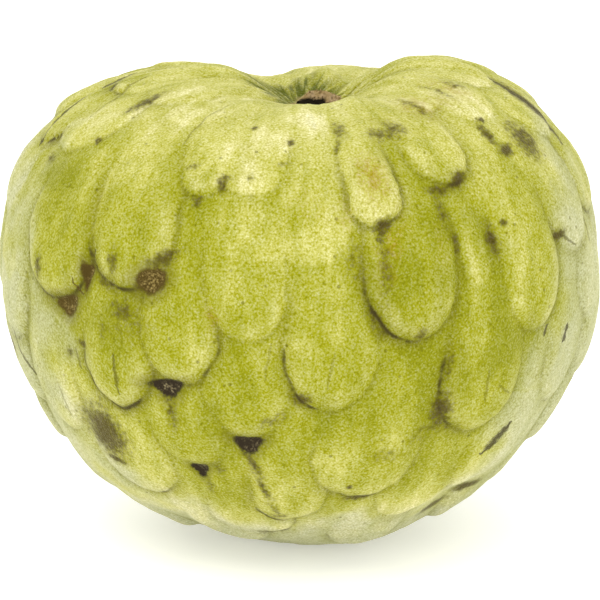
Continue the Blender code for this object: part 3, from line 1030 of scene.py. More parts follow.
def skin_relief(tree):
    """How far the skin stands out of the bare body, without the lumps."""
    way, place = stored(tree, "way", "VECTOR"), position(tree)
    polar, girth = polar_of(way), girth_place(way)
    scale_part = smooth(polar, *STALK_FADE) * (1.0 - smooth(polar, *BLOSSOM_FADE))
    relief = stored(tree, "scale_height") * scale_part + stalk_folds(way, polar) + stalk_ring(place)
    cork = cork_depth_share(stored(tree, "cork_u"), stored(tree, "cork_v"), stored(tree, "cork_tone"))
    relief = relief - CORK_DEPTH * smooth(cork, 0.0, CORK_SLOPE) - CRACK_DEPTH * stored(tree, "groove")
    off_stalk = off_axis(place) + maths("LESS_THAN", split(place)[2], 0.0)
    relief = relief - SINK_UNDER_SCAR * (1.0 - smooth(off_stalk, *SINK_BAND))
    wrinkles = WRINKLE_HEIGHT * uneven(girth, WRINKLE_SIZE)
    wrinkles = wrinkles + FINE_WRINKLE_HEIGHT * uneven(girth, FINE_WRINKLE_SIZE)
    wrinkle_part = smooth(polar, *WRINKLE_START) * (1.0 - WRINKLE_LOSS * smooth(polar, *WRINKLE_FADE))
    return relief + wrinkle_part * wrinkles


# %% Build the skin's tree
SIDE_POINTS = 129
RIM_BLUR = 10
FORM_BLUR = 60
LUMP_SIZE = 0.008
LUMP_HEIGHT = 0.00016
UNMARKED = 9.0
ZERO_AT_START = ("lee", "smudge", "rim_ink", "stain", "wash", "rust", "groove", "cork_tone", "crack_tone")
START_VALUES = {
    "scale_height": FLOOR,
    "along": 1.0,
    "tint": 0.5,
    "rim_score": 2.0 * FAR,
    "rim_distance": FAR,
    **dict.fromkeys(ZERO_AT_START, 0.0),
    **dict.fromkeys(("cork_u", "cork_v", "cork_reach", "crack_u", "crack_v", "crack_reach"), UNMARKED),
}
MARK_STEPS = {"cork": add_cork, "stain": add_stain, "crack": add_crack, "wash": add_tone_and_light_wash, "rust": add_rust}


def plan_label(kind):
    """The label of the input that takes the plan of a kind."""
    return kind.capitalize() + " plan"


def even_ball(tree, side_points):
    """A ball of nearly equal squares, from a cube."""
    corners = {f"Vertices {axis}": side_points for axis in "XYZ"}
    cube = output_of(tree, "GeometryNodeMeshCube", {"Size": (2.0, 2.0, 2.0), **corners}, "Mesh")
    warped = [maths("TANGENT", part * (math.pi / 4.0)) for part in split(position(tree))]
    ball = store(cube, "way", arrows("NORMALIZE", join(*warped)), "VECTOR")
    return move_to(ball, stored(tree, "way", "VECTOR"))


def blurred(value, turns):
    """The value, averaged with its neighbours a number of times."""
    inputs = {"Iterations": turns, "Value": value}
    return output_of(value.tree, "GeometryNodeBlurAttribute", inputs, data_type="FLOAT")


def close_tree(end, shape, material):
    """The last nodes of a tree: instances become real, and every face gets the material."""
    real = output_of(shape.tree, "GeometryNodeRealizeInstances", {"Geometry": shape})
    painted = output_of(shape.tree, "GeometryNodeSetMaterial", {"Geometry": real, "Material": material})
    feed(end.inputs["Geometry"], painted)


def make_skin_tree():
    """The whole fruit's skin."""
    tree, given, end = new_tree(
        "Cherimoya skin",
        [
            ("Points on a side", "NodeSocketInt", SIDE_POINTS),
            *[(plan_label(kind), "NodeSocketObject", None) for kind in plans],
            ("Lump height", "NodeSocketFloat", LUMP_HEIGHT),
            ("Skin material", "NodeSocketMaterial", None),
        ],
        [("Geometry", "NodeSocketGeometry")],
    )
    shape = even_ball(tree, given["Points on a side"])
    shape = move_to(shape, on_body(stored(tree, "way", "VECTOR")))
    shape = store(shape, "bent", bent(position(tree)), "VECTOR")
    for name, value in START_VALUES.items():
        shape = store(shape, name, value)

    scales = lay_on_body(object_plan(tree, given[plan_label("scale")]))
    rise = smooth(polar_of(position(tree)), *LIFT_BAND)
    scales = store(scales, "lift", LIFT_AT_STALK + (LIFT - LIFT_AT_STALK) * rise)
    for step in (raise_scale, find_rim):
        shape = each_turn(shape, scales, step)
    for kind, step in MARK_STEPS.items():
        shape = each_turn(shape, lay_on_body(object_plan(tree, given[plan_label(kind)])), step)

    shape = store(shape, "relief", skin_relief(tree))
    relief = stored(tree, "relief")
    shape = store(shape, "hollow", blurred(relief, RIM_BLUR) - relief)
    shape = store(shape, "wide_hollow", blurred(relief, FORM_BLUR) - relief)
    place = position(tree)
    lumps = uneven(place, LUMP_SIZE) * given["Lump height"]
    out = arrows("SCALE", stored(tree, "way", "VECTOR"), relief + lumps)
    x, y, z = split(arrows("ADD", place, out))
    shape = move_to(shape, join(x, y, maths("MAXIMUM", z + MIDDLE_HEIGHT, 0.0)))
    shape = output_of(tree, "GeometryNodeSetShadeSmooth", {"Geometry": shape, "Shade Smooth": True})
    close_tree(end, shape, given["Skin material"])
    return tree


skin_tree = make_skin_tree()
print("skin tree:", len(skin_tree.nodes), "nodes")

# %% [markdown]
# ## Colours
# The colours are written as they look on a screen, from 0 to 255, and turned into the linear light that a
# shader works in.

# %% Helpers for materials
MIX_FIRST = 6
MIX_SECOND = 7
MIX_RESULT = 2


def colour(red, green, blue):
    """A screen colour as linear light."""
    screen = Color((red / 255.0, green / 255.0, blue / 255.0))
    return (*screen.from_srgb_to_scene_linear(), 1.0)


def new_material(name):
    """A material, its tree and its Principled shader."""
    material = bpy.data.materials.new(name)
    material.use_nodes = True
    return material, material.node_tree, material.node_tree.nodes["Principled BSDF"]


def mix(factor, first, second):
    """Two colours mixed by a factor. The Mix node has sockets for colours behind those for numbers."""
    inputs = {0: factor, MIX_FIRST: first, MIX_SECOND: second}
    return output_of(factor.tree, "ShaderNodeMix", inputs, MIX_RESULT, data_type="RGBA")


def object_place(tree):
    """Object coordinates: metres on the fruit itself."""
    return output_of(tree, "ShaderNodeTexCoord", output="Object")


def off_dots(place, size):
    """How far a place is from the nearest of scattered dots, as a share of the size in metres."""
    return output_of(place.tree, "ShaderNodeTexVoronoi", {"Vector": place, "Scale": 1.0 / size}, "Distance")


def bump(shader, height, distance, strength):
    """Fine relief for the light alone."""
    inputs = {"Strength": strength, "Distance": distance, "Height": height}
    feed(shader.inputs["Normal"], output_of(height.tree, "ShaderNodeBump", inputs, "Normal"))


# %% [markdown]
# ## The skin's finish
# The skin is matt and a little velvety, and its colour is put on in layers, each in a function of its own.
# Several layers read the same places, noises and attributes, so those are gathered first. A dense grain of
# pale and dark flecks is one of them, and covers all of the skin.

# %% What the layers share
DOT_SIZE = 0.00042
DOT_MIDDLE = 0.5
DOT_GAIN = 2.4
GRAIN_SIZE = 0.00034
MOTTLE_SIZE = 0.0016
DOT_SHARE = 0.8
GRAIN_SHARE = 1.2
MOTTLE_SHARE = 0.3
RAGGED_SIZE = 0.0011
RAGGED_NOISE = (3.0, 0.6)
PATCH_SIZE = 0.006


class SkinPatterns:
    """The places, noises and attributes that more than one layer reads."""

    def __init__(self, tree):
        self.tree = tree
        self.place = object_place(tree)
        way = arrows("NORMALIZE", arrows("SUBTRACT", self.place, (0.0, 0.0, MIDDLE_HEIGHT)))
        self.side, _, self.height = split(way)
        self.girth = girth_place(way)
        self.tint, self.hollow = self.read("tint"), self.read("hollow")
        self.dots = (DOT_MIDDLE - off_dots(self.place, DOT_SIZE)) * DOT_GAIN
        self.grain = uneven(self.place, GRAIN_SIZE)
        self.flecks = DOT_SHARE * self.dots + GRAIN_SHARE * self.grain
        self.flecks = self.flecks + MOTTLE_SHARE * uneven(self.place, MOTTLE_SIZE)
        self.ragged = uneven(self.place, RAGGED_SIZE, *RAGGED_NOISE)
        self.patches = uneven(self.place, PATCH_SIZE)

    def read(self, name):
        """A named attribute of the mesh."""
        return output_of(self.tree, "ShaderNodeAttribute", output="Fac", attribute_name=name)


# %% [markdown]
# The ground colour follows a paleness, worked out at each point. It is a saturated yellow-green where a scale
# comes out from under the one above, and pales towards its tip, the shoulders and the foot; on the shoulders
# that is partly painted light from above, and at the foot partly painted light bounced up from the floor.
# Washes move it either way, and streaks follow the fruit's length. Low on the fruit an ash colour lies over
# it, partly the skin's own and partly painted light from the floor; on both flanks, as seen from the front,
# the pale ash is painted sheen; and the palest skin turns ash too.

# %% Layer: the ground colour
DEEP_GREEN = colour(131, 133, 14)
LEAF_GREEN = colour(153, 153, 52)
PALE_YELLOW = colour(182, 179, 94)
CREAM = colour(215, 209, 152)
# pale ash: the skin's own on the palest skin, painted floor light low down, painted sheen on the flanks
ASH_AND_SHEEN_CREAM = colour(170, 171, 140)
PALE_TONES = [((0.05, 0.45), LEAF_GREEN), ((0.38, 0.75), PALE_YELLOW), ((0.70, 1.10), CREAM)]
PALENESS = 0.42
SHOULDER_GAIN = 0.26
SHOULDER_BAND = (0.1, 0.75)
FOOT_GAIN = 0.22
FOOT_BAND = (0.55, 0.90)
TIP_GAIN = 0.12
TIP_MIDDLE = 0.4
TINT_GAIN = 0.08
TINT_MIDDLE = 0.5
TONE_AND_LIGHT_WASH_GAIN = 0.5
CLOUD_GAIN = 0.12
CLOUD_SIZE = 0.018
PATCH_GAIN = 0.14
STREAK_GAIN = 0.18
STREAK_SIZE = 0.11
STREAK_DETAIL = 3.0
FINE_STREAK_GAIN = 0.10
FINE_STREAK_SIZE = 0.035
FOOT_ASH_AND_BOUNCE_BAND = (0.66, 0.84)
FOOT_ASH_AND_BOUNCE_RAGGED = 0.06
ASH_AND_BOUNCE_SHARE = 0.8
FLANK_SHEEN_BAND = (0.76, 0.98)
FLANK_SHEEN_LOW = 0.45
FLANK_SHEEN_SHARE = 0.68
FLANK_SHEEN_NOISE_SIZE = 0.014
FLANK_SHEEN_NOISE_DETAIL = 3.0
FLANK_SHEEN_NOISE_GAIN = 0.12
FLANK_SHEEN_PATCHES = 0.05
FLANK_SHEEN_TINT = 0.10
PALEST_BAND = (0.95, 1.35)


def paleness_of(on):
    """How pale the skin is: about 0 in the greenest places and 1 in the palest. On the shoulders and low on
    the fruit part of it is painted light.
    """
    # paler on the shoulders: partly painted light from above
    paleness = PALENESS + SHOULDER_GAIN * smooth(on.height, *SHOULDER_BAND)
    # paler low on the fruit: partly painted light bounced up from the floor
    paleness = paleness + FOOT_GAIN * smooth(-on.height, *FOOT_BAND)
    paleness = paleness - TIP_GAIN * (on.read("along") - TIP_MIDDLE)
    # the washes bring painted shade and painted highlights as well as tone
    paleness = paleness + TINT_GAIN * (on.tint - TINT_MIDDLE) - TONE_AND_LIGHT_WASH_GAIN * on.read("wash")
    paleness = paleness + CLOUD_GAIN * uneven(on.place, CLOUD_SIZE) + PATCH_GAIN * on.patches
    paleness = paleness + STREAK_GAIN * uneven(on.girth, STREAK_SIZE, STREAK_DETAIL)
    return paleness + FINE_STREAK_GAIN * uneven(on.girth, FINE_STREAK_SIZE)


def ground_colour(on):
    """Green to cream by paleness, with ash over it: partly the skin's own, partly painted light from the
    floor below, and painted sheen on the flanks.
    """
    paleness = paleness_of(on)
    skin = DEEP_GREEN
    for band, tone in PALE_TONES:
        skin = mix(smooth(paleness, *band), skin, tone)
    # low on the fruit: ash, partly the skin's own and partly painted light bounced up from the floor
    foot_ash_and_bounce = smooth(-on.height + FOOT_ASH_AND_BOUNCE_RAGGED * on.patches, *FOOT_ASH_AND_BOUNCE_BAND) * ASH_AND_BOUNCE_SHARE
    # painted sheen: pale ash on the left and right flanks as seen from the front, and lower down
    flank_sheen_noise = FLANK_SHEEN_NOISE_GAIN * uneven(on.place, FLANK_SHEEN_NOISE_SIZE, FLANK_SHEEN_NOISE_DETAIL)
    flank_sheen_noise = flank_sheen_noise + FLANK_SHEEN_PATCHES * on.patches + FLANK_SHEEN_TINT * (on.tint - TINT_MIDDLE)
    flank_sheen = maths("ABSOLUTE", on.side) + FLANK_SHEEN_LOW * maths("MAXIMUM", -on.height, 0.0) + flank_sheen_noise
    flank_sheen = smooth(flank_sheen, *FLANK_SHEEN_BAND) * FLANK_SHEEN_SHARE
    palest = smooth(paleness, *PALEST_BAND) * ASH_AND_BOUNCE_SHARE
    return mix(maths("MAXIMUM", foot_ash_and_bounce, maths("MAXIMUM", flank_sheen, palest)), skin, ASH_AND_SHEEN_CREAM)


# %% [markdown]
# The relief colours the skin too. Raised rims are paler. Hollows and the skin in the lee of a tip get painted
# shade, greener and darker, and deep in the dimple painted shade runs down to the stalk in dark green flutes.

# %% Layer: the relief, and the painted shade in its hollows
DIMPLE_SHADE_GREEN = colour(74, 82, 14)
# olive for pores, stains, cracks and cork halos, and also for painted shade in creases and beside corky lines
OLIVE_STAIN_AND_SHADE = colour(90, 86, 16)
RAISED_BAND = (0.00002, 0.00022)
RAISED_SHARE = 0.20
LEE_SHADE_SHARE = 0.45
LEE_SHADE_EVEN = 0.7
WIDE_HOLLOW_BAND = (0.0001, 0.0008)
WIDE_HOLLOW_SHADE_SHARE = 0.25
HOLLOW_BAND = (0.00004, 0.00030)
HOLLOW_SHADE_SHARE = 0.45
FLUTE_STREAK_SIZE = 0.09
FLUTE_EVEN = 0.82
FLUTE_STREAK = 0.50
FLUTE_HOLLOW = 0.0010
DIMPLE_BAND = (0.948, 0.980)
DIMPLE_RAGGED = 0.014
DIMPLE_SHADE_SHARE = 0.9


def colour_relief(skin, on):
    """Paler where the skin is raised, and painted shade, greener and darker, where it is hollow, in the lee
    of a tip and deep in the dimple.
    """
    skin = mix(smooth(-on.hollow, *RAISED_BAND) * RAISED_SHARE, skin, CREAM)
    lee = on.read("lee") * (LEE_SHADE_EVEN + (1.0 - LEE_SHADE_EVEN) * on.patches)
    skin = mix(clamp(lee) * LEE_SHADE_SHARE, skin, DEEP_GREEN)
    # painted shade: greener in broad hollows and darker olive in narrow creases
    skin = mix(smooth(on.read("wide_hollow"), *WIDE_HOLLOW_BAND) * WIDE_HOLLOW_SHADE_SHARE, skin, DEEP_GREEN)
    skin = mix(smooth(on.hollow, *HOLLOW_BAND) * HOLLOW_SHADE_SHARE, skin, OLIVE_STAIN_AND_SHADE)
    streak = uneven(on.girth, FLUTE_STREAK_SIZE, STREAK_DETAIL)
    flutes = clamp(FLUTE_EVEN + FLUTE_STREAK * streak + on.hollow / FLUTE_HOLLOW)
    # painted shade, dark green, deep in the dimple round the stalk
    dimple_shade = smooth(on.height + DIMPLE_RAGGED * streak, *DIMPLE_BAND)
    return mix(dimple_shade * flutes * DIMPLE_SHADE_SHARE, skin, DIMPLE_SHADE_GREEN)


# %% [markdown]
# Small dark pores stand in loose groups. Rust is a thin orange-brown crust that breaks up at its edges,
# painted shade lies beside a strong corky line, and a stain goes from olive at its edge to brown in the
# middle. The flecks come over all of these.

# %% Layer: pores, rust, painted shade by the corky lines, stains and flecks
STAIN_BROWN = colour(70, 59, 24)
RUST = colour(142, 118, 20)
PORE_SPACING = 0.0026
PORE_BAND = (0.06, 0.16)
PORE_GROUP_BAND = (-0.1, 0.5)
PORE_GROUP_DETAIL = 1.0
PORE_SHARE = 0.6
RUST_GAIN = 1.4
RUST_BAND = (0.2, 1.8)
RUST_SHARE = 0.7
INK_SHADE_EVEN = 0.8
INK_SHADE_RAGGED = 0.5
INK_SHADE_PATCHES = 0.4
INK_SHADE_SHARE = 0.65
STAIN_RAGGED = 0.30
STAIN_GRAIN = 0.16
STAIN_EDGE = (0.05, 0.35)
STAIN_TONES = [((0.05, 0.70), 0.60, OLIVE_STAIN_AND_SHADE), ((0.35, 0.95), 0.85, STAIN_BROWN)]
FLECK_LIGHT = 0.23
FLECK_FADE = 0.18


def colour_blemishes(skin, on):
    """Pores, rust, painted shade by the corky lines, and stains, and the flecks over them."""
    pores = 1.0 - smooth(off_dots(on.place, PORE_SPACING), *PORE_BAND)
    groups = smooth(uneven(on.place, PATCH_SIZE, PORE_GROUP_DETAIL), *PORE_GROUP_BAND)
    skin = mix(pores * groups * PORE_SHARE, skin, OLIVE_STAIN_AND_SHADE)
    rust = on.read("rust")
    rust = rust * smooth(on.ragged + on.grain + RUST_GAIN * rust, *RUST_BAND)
    skin = mix(clamp(rust) * RUST_SHARE, skin, RUST)
    # painted shade beside the corky lines, broken up by noise
    broken = INK_SHADE_EVEN + INK_SHADE_RAGGED * on.ragged + INK_SHADE_PATCHES * on.patches
    skin = mix(clamp(on.read("smudge") * broken) * INK_SHADE_SHARE, skin, OLIVE_STAIN_AND_SHADE)
    stain = on.read("stain")
    stain = stain + (STAIN_RAGGED * on.ragged + STAIN_GRAIN * on.grain) * smooth(stain, *STAIN_EDGE)
    for band, share, tone in STAIN_TONES:
        skin = mix(smooth(stain, *band) * share, skin, tone)
    lighter, fuller = 1.0 + FLECK_LIGHT * on.flecks, 1.0 - FLECK_FADE * on.flecks
    inputs = {"Color": skin, "Value": lighter, "Saturation": fuller}
    return output_of(on.tree, "ShaderNodeHueSaturation", inputs, "Color")


# %% [markdown]
# The corky line under a tip is wider where its ink is strong, and breaks off where it is weak. A crack
# tapers to both ends and has rough edges. Both are finer than the mesh, so they are drawn from the distances
# that the tree keeps, and both are also grooves for the bump.

# %% Layer: corky lines and cracks
LINE_BROWN = colour(54, 45, 18)
NEAR_RIM_BAND = (0.0006, 0.0010)
INK_EVEN = 0.7
INK_WAVES = 0.9
INK_WAVE_SIZE = 0.0035
LINE_WIDTH = 0.00012
LINE_WIDTH_INK = 0.00064
LINE_WIDTH_RAGGED = 0.00020
LINE_START = -0.0001
LINE_UPPER = -0.00060
LINE_INK_BAND = (0.05, 0.7)
LINE_SHARE = 0.9
NEAR_CRACK_BAND = (1.3, 1.6)
CRACK_RAGGED = 0.8
CRACK_BAND = (0.4, 1.7)
CRACK_ENDS = (0.05, 0.3)
CRACK_SHARE = 0.9
CRACK_TONE_BAND = (0.5, 0.9)


def rim_line(on):
    """1 on the corky line under a tip."""
    distance = on.read("rim_distance")
    near_rim = 1.0 - smooth(on.read("rim_score"), *NEAR_RIM_BAND)
    ink = clamp(on.read("rim_ink") * (INK_EVEN + INK_WAVES * uneven(on.place, INK_WAVE_SIZE)))
    width = LINE_WIDTH + LINE_WIDTH_INK * ink + LINE_WIDTH_RAGGED * on.ragged
    line = (1.0 - smooth(distance, LINE_START, width)) * smooth(distance, LINE_UPPER, LINE_START)
    return line * near_rim * smooth(ink, *LINE_INK_BAND)


def crack_line(on):
    """The crack's strength where there is one."""
    v = on.read("crack_v")
    taper = maths("SQRT", maths("MAXIMUM", 1.0 - v * v, 0.0))
    side = maths("ABSOLUTE", on.read("crack_u") + CRACK_RAGGED * on.ragged)
    side = side / maths("MAXIMUM", taper, CRACK_ENDS[0])
    near_crack = 1.0 - smooth(on.read("crack_reach"), *NEAR_CRACK_BAND)
    crack = (1.0 - smooth(side, *CRACK_BAND)) * smooth(taper, *CRACK_ENDS)
    return crack * on.read("crack_tone") * near_crack


# %% [markdown]
# A corky mark is brown with a paler net, in an olive halo. A strong one is dark with a fine tan net near its
# middle, and a faint one is a lighter brown and netted all over. Round the stalk the skin is dry and tan.

# %% Layer: corky marks and the dry skin round the stalk
CORK_DARK = colour(46, 38, 26)
CORK_TAN = colour(156, 142, 104)
CORK_BROWN = colour(74, 60, 22)
CORK_GOLD = colour(168, 146, 84)
SCAR_TAN = colour(150, 126, 84)
NEAR_CORK_BAND = (2.2, 2.6)
CORK_RAGGED = 0.14
CORK_GRAIN = 0.08
CORK_EDGE = (-0.12, 0.28)
HALO_PATCHES = 0.2
HALO_BAND = (-1.1, 0.1)
HALO_SHARE = 0.5
NET_DETAIL = 1.0
NET_FRESH = 1.6
NET_BAND = (-0.2, 1.2)
NET_DEPTH = (0.15, 0.5)
NET_EVEN = 0.25
NET_DOTS = 0.5
NET_GRAIN = 0.4
FRESH_BAND = (0.85, 1.0)
DRY_BAND = (0.0038, 0.0054)
DRY_RAGGED = 0.0006
DRY_SHARE = 0.8


def colour_cork(skin, on):
    """The skin with its corky marks, where they are, and how light their net is."""
    tone = on.read("cork_tone")
    near_cork = 1.0 - smooth(on.read("cork_reach"), *NEAR_CORK_BAND)
    depth = cork_depth_share(on.read("cork_u"), on.read("cork_v"), tone)
    depth = depth + CORK_RAGGED * on.ragged + CORK_GRAIN * on.grain
    cork = smooth(depth, *CORK_EDGE) * near_cork
    halo = smooth(depth + HALO_PATCHES * on.patches, *HALO_BAND) * near_cork
    skin = mix(halo * HALO_SHARE, skin, OLIVE_STAIN_AND_SHADE)
    net = smooth(uneven(on.place, MOTTLE_SIZE, NET_DETAIL) + NET_FRESH * (1.0 - tone), *NET_BAND)
    net = net * smooth(depth, *NET_DEPTH)
    net = clamp(net * (NET_EVEN + NET_DOTS * on.dots + NET_GRAIN * on.grain))
    fresh = 1.0 - smooth(tone, *FRESH_BAND)
    crust = mix(net, mix(fresh, CORK_DARK, CORK_BROWN), mix(fresh, CORK_TAN, CORK_GOLD))
    return mix(cork, skin, crust), cork, net


def colour_dry_ring(skin, on):
    """Dry tan skin round the stalk's scar."""
    dry = 1.0 - smooth(off_axis(on.place) + DRY_RAGGED * on.ragged, *DRY_BAND)
    return mix(dry * maths("GREATER_THAN", on.height, 0.0) * DRY_SHARE, skin, SCAR_TAN)


# %% [markdown]
# The layers are put over each other here. Cork is duller than the rest. The sheen stands for the skin's short
# down, and the bump for what is finer than the mesh.

# %% The skin's material
SKIN_ROUGHNESS = 0.55
CORK_DULLER = 0.3
SKIN_GLOSS = 0.08
SHEEN = 0.25
SHEEN_ROUGHNESS = 0.30
SHEEN_COLOUR = colour(240, 238, 160)
BUMP_HEIGHT = 0.00018
BUMP_STRENGTH = 0.7
FLECK_BUMP = 0.35
CORK_BUMP = 1.5
CRACK_BUMP = 1.5


def make_skin_material():
    """Velvety fruit skin with its scars."""
    material, tree, shader = new_material("cherimoya_skin")
    on = SkinPatterns(tree)
    skin = colour_blemishes(colour_relief(ground_colour(on), on), on)
    line, crack = rim_line(on), crack_line(on)
    skin = mix(line * LINE_SHARE, skin, LINE_BROWN)
    crack_colour = mix(smooth(on.read("crack_tone"), *CRACK_TONE_BAND), OLIVE_STAIN_AND_SHADE, LINE_BROWN)
    skin = mix(crack * CRACK_SHARE, skin, crack_colour)
    skin, cork, net = colour_cork(skin, on)
    feed(shader.inputs["Base Color"], colour_dry_ring(skin, on))
    feed(shader.inputs["Roughness"], SKIN_ROUGHNESS + CORK_DULLER * cork)
    shader.inputs["Specular IOR Level"].default_value = SKIN_GLOSS
    shader.inputs["Sheen Weight"].default_value = SHEEN
    shader.inputs["Sheen Roughness"].default_value = SHEEN_ROUGHNESS
    shader.inputs["Sheen Tint"].default_value = SHEEN_COLOUR
    relief = on.flecks * FLECK_BUMP + cork * net * CORK_BUMP - crack * CRACK_BUMP - line
    bump(shader, relief, BUMP_HEIGHT, BUMP_STRENGTH)
    return material


skin_material = make_skin_material()

# %% [markdown]
# ## The fruit
# The tree runs as a modifier on an empty mesh. Its result is then copied to a plain mesh, and that piece
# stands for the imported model's fruit.

# %% Run the tree and take its mesh


def set_inputs(modifier, values):
    """Sets a modifier's inputs by their labels."""
    for item in modifier.node_group.interface.items_tree:
        if item.in_out == "INPUT" and item.name in values:
            modifier[item.identifier] = values[item.name]


def grow(name, tree, values):
    """Runs a tree on an empty mesh, and returns its result as a plain object."""
    seedling = bpy.data.objects.new(name + "_seedling", bpy.data.meshes.new(name + "_seedling"))
    bpy.context.scene.collection.objects.link(seedling)
    modifier = seedling.modifiers.new("grow", "NODES")
    modifier.node_group = tree
    set_inputs(modifier, values)
    graph = bpy.context.evaluated_depsgraph_get()
    mesh = bpy.data.meshes.new_from_object(seedling.evaluated_get(graph), depsgraph=graph)
    mesh.name = name
    bpy.data.objects.remove(seedling)
    piece = bpy.data.objects.new(name, mesh)
    bpy.context.scene.collection.objects.link(piece)
    mesh.calc_loop_triangles()
    print(name, "has", len(mesh.loop_triangles), "triangles")
    return piece


skin_inputs = {plan_label(kind): plan for kind, plan in plans.items()}
skin_inputs["Points on a side"] = SIDE_POINTS
skin_inputs["Lump height"] = LUMP_HEIGHT
skin_inputs["Skin material"] = skin_material
skin = grow("cherimoya_skin", skin_tree, skin_inputs)
for plan in plans.values():
    bpy.data.objects.remove(plan)
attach(skin, "root")
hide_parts("cherimoya_fruit")

# %% [markdown]
# ## The stalk's scar
# Where the stalk broke off, a ring of cork is left, with a dark pit in it. It starts as a ball too: the upper
# half is laid on the skin in the dimple and raised by the ring's profile and a corky noise, and the lower
# half lies hidden under the skin, so the piece is closed. Short broken fibres stand on it, one small cone
# instanced at seeded random points.

# %% Build the scar
SCAR_SIDE_POINTS = 33
SCAR_RADIUS = 0.0041
SCAR_RAGGED = 0.14
SCAR_RAGGED_SIZE = 0.5
SCAR_THICKNESS = 0.00030
SCAR_EDGE = (0.80, 1.0)
SCAR_UNDER = 0.0010
EQUATOR = -0.0001
CRUST_LUMPS = 1.1
CRUST_LUMP_SIZE = 0.0014
CRUST_NOISE = (3.0, 0.6)
FIBRES_PER_AREA = 2.0e6
FIBRE_LENGTH = 0.0004
FIBRE_TOP = 0.00005
FIBRE_FOOT = 0.00018
FIBRE_SIDES = 5
FIBRE_SCALES = (0.4, 1.0)
FIBRE_SEED = 3
RANDOM_LEAST = 2
RANDOM_MOST = 3
RANDOM_NUMBER = 1
STALK_RISE = RISE - DIMPLE_DEPTH - CORE_DEPTH


def scar_crust(tree, ball):
    """The ball laid on the skin: the raised ring above, and a hidden underside."""
    x, y, z = split(stored(tree, "way", "VECTOR"))
    spread = SCAR_RADIUS * (1.0 + SCAR_RAGGED * uneven(join(x, y, 0.0), SCAR_RAGGED_SIZE))
    ray = arrows("NORMALIZE", join(x * spread, y * spread, STALK_RISE))
    ground = on_body(ray)
    rim = smooth(hypot(x, y), *SCAR_EDGE)
    lumps = uneven(ground, CRUST_LUMP_SIZE, *CRUST_NOISE)
    crust = SCAR_THICKNESS * (1.0 + CRUST_LUMPS * lumps) * (1.0 - rim) - SCAR_THICKNESS * rim
    ring = stalk_ring(ground)
    is_upper = maths("GREATER_THAN", z, EQUATOR)
    height = choose(is_upper, ring - SCAR_UNDER, ring + crust)
    raised = arrows("ADD", ground, arrows("SCALE", ray, height))
    shape = move_to(ball, arrows("ADD", raised, (0.0, 0.0, MIDDLE_HEIGHT)))
    return store(shape, "is_upper", is_upper)


def scar_fibres(shape, length, seed):
    """Small cones at random points of the upper side. The random node's sockets go by their numbers."""
    tree = shape.tree
    cone = {"Vertices": FIBRE_SIDES, "Radius Top": FIBRE_TOP, "Radius Bottom": FIBRE_FOOT, "Depth": length}
    where = {"Mesh": shape, "Density": FIBRES_PER_AREA, "Seed": seed, "Selection": stored(tree, "is_upper")}
    dots = add_node(tree, "GeometryNodeDistributePointsOnFaces", where)
    least, most = FIBRE_SCALES
    sizes = {RANDOM_LEAST: least, RANDOM_MOST: most}
    copies = {
        "Points": Wire(dots.outputs["Points"]),
        "Instance": output_of(tree, "GeometryNodeMeshCone", cone, "Mesh"),
        "Rotation": Wire(dots.outputs["Rotation"]),
        "Scale": output_of(tree, "FunctionNodeRandomValue", sizes, RANDOM_NUMBER, data_type="FLOAT"),
    }
    return output_of(tree, "GeometryNodeInstanceOnPoints", copies)


def make_scar_tree():
    """The corky ring of the stalk and its fibres."""
    tree, given, end = new_tree(
        "Stalk scar",
        [
            ("Points on a side", "NodeSocketInt", SCAR_SIDE_POINTS),
            ("Fibre length", "NodeSocketFloat", FIBRE_LENGTH),
            ("Seed", "NodeSocketInt", FIBRE_SEED),
            ("Scar material", "NodeSocketMaterial", None),
        ],
        [("Geometry", "NodeSocketGeometry")],
    )
    shape = scar_crust(tree, even_ball(tree, given["Points on a side"]))
    both = add_node(tree, "GeometryNodeJoinGeometry")
    feed(both.inputs[0], shape)
    feed(both.inputs[0], scar_fibres(shape, given["Fibre length"], given["Seed"]))
    close_tree(end, Wire(both.outputs[0]), given["Scar material"])
    return tree


# %% [markdown]
# The cork of the ring is tan, with pinkish, brown and light flecks. Below a line that drops to the right it
# turns nearly black: the pit's own dark cork, with painted shade deep in the pit.

# %% The scar's material
PIT_BLACK_AND_SHADE = colour(30, 24, 10)
PIT_BROWN = colour(78, 62, 34)
RING_BROWN = colour(154, 130, 84)
RING_PINK = colour(172, 148, 112)
RING_LIGHT = colour(194, 172, 132)
CRUMB_SIZE = 0.0010
CRUMB_NOISE = (3.0, 0.6)
CRUMB_EDGE = 0.0003
OUTER_BAND = (0.0033, 0.0041)
PIT_LINE = 0.0023
PIT_LINE_DROP = 0.0014
PIT_LINE_BAND = (0.0004, 0.0030)
RIM_ALWAYS = (0.0039, 0.0042)
RING_FLECK_SIZE = 0.0016
RING_FLECK_BAND = (-0.3, 0.7)
RING_FLECK_SHARE = 0.85
BROWN_FLECK_BAND = (0.0, 0.9)
BROWN_FLECK_SHARE = 0.5
LIGHT_FLECK_BAND = (0.3, 1.2)
LIGHT_FLECK_SHARE = 0.6
SCAR_ROUGHNESS = 0.85
SCAR_GLOSS = 0.15
CRUMB_BUMP = 0.0002
CRUMB_BUMP_STRENGTH = 0.8


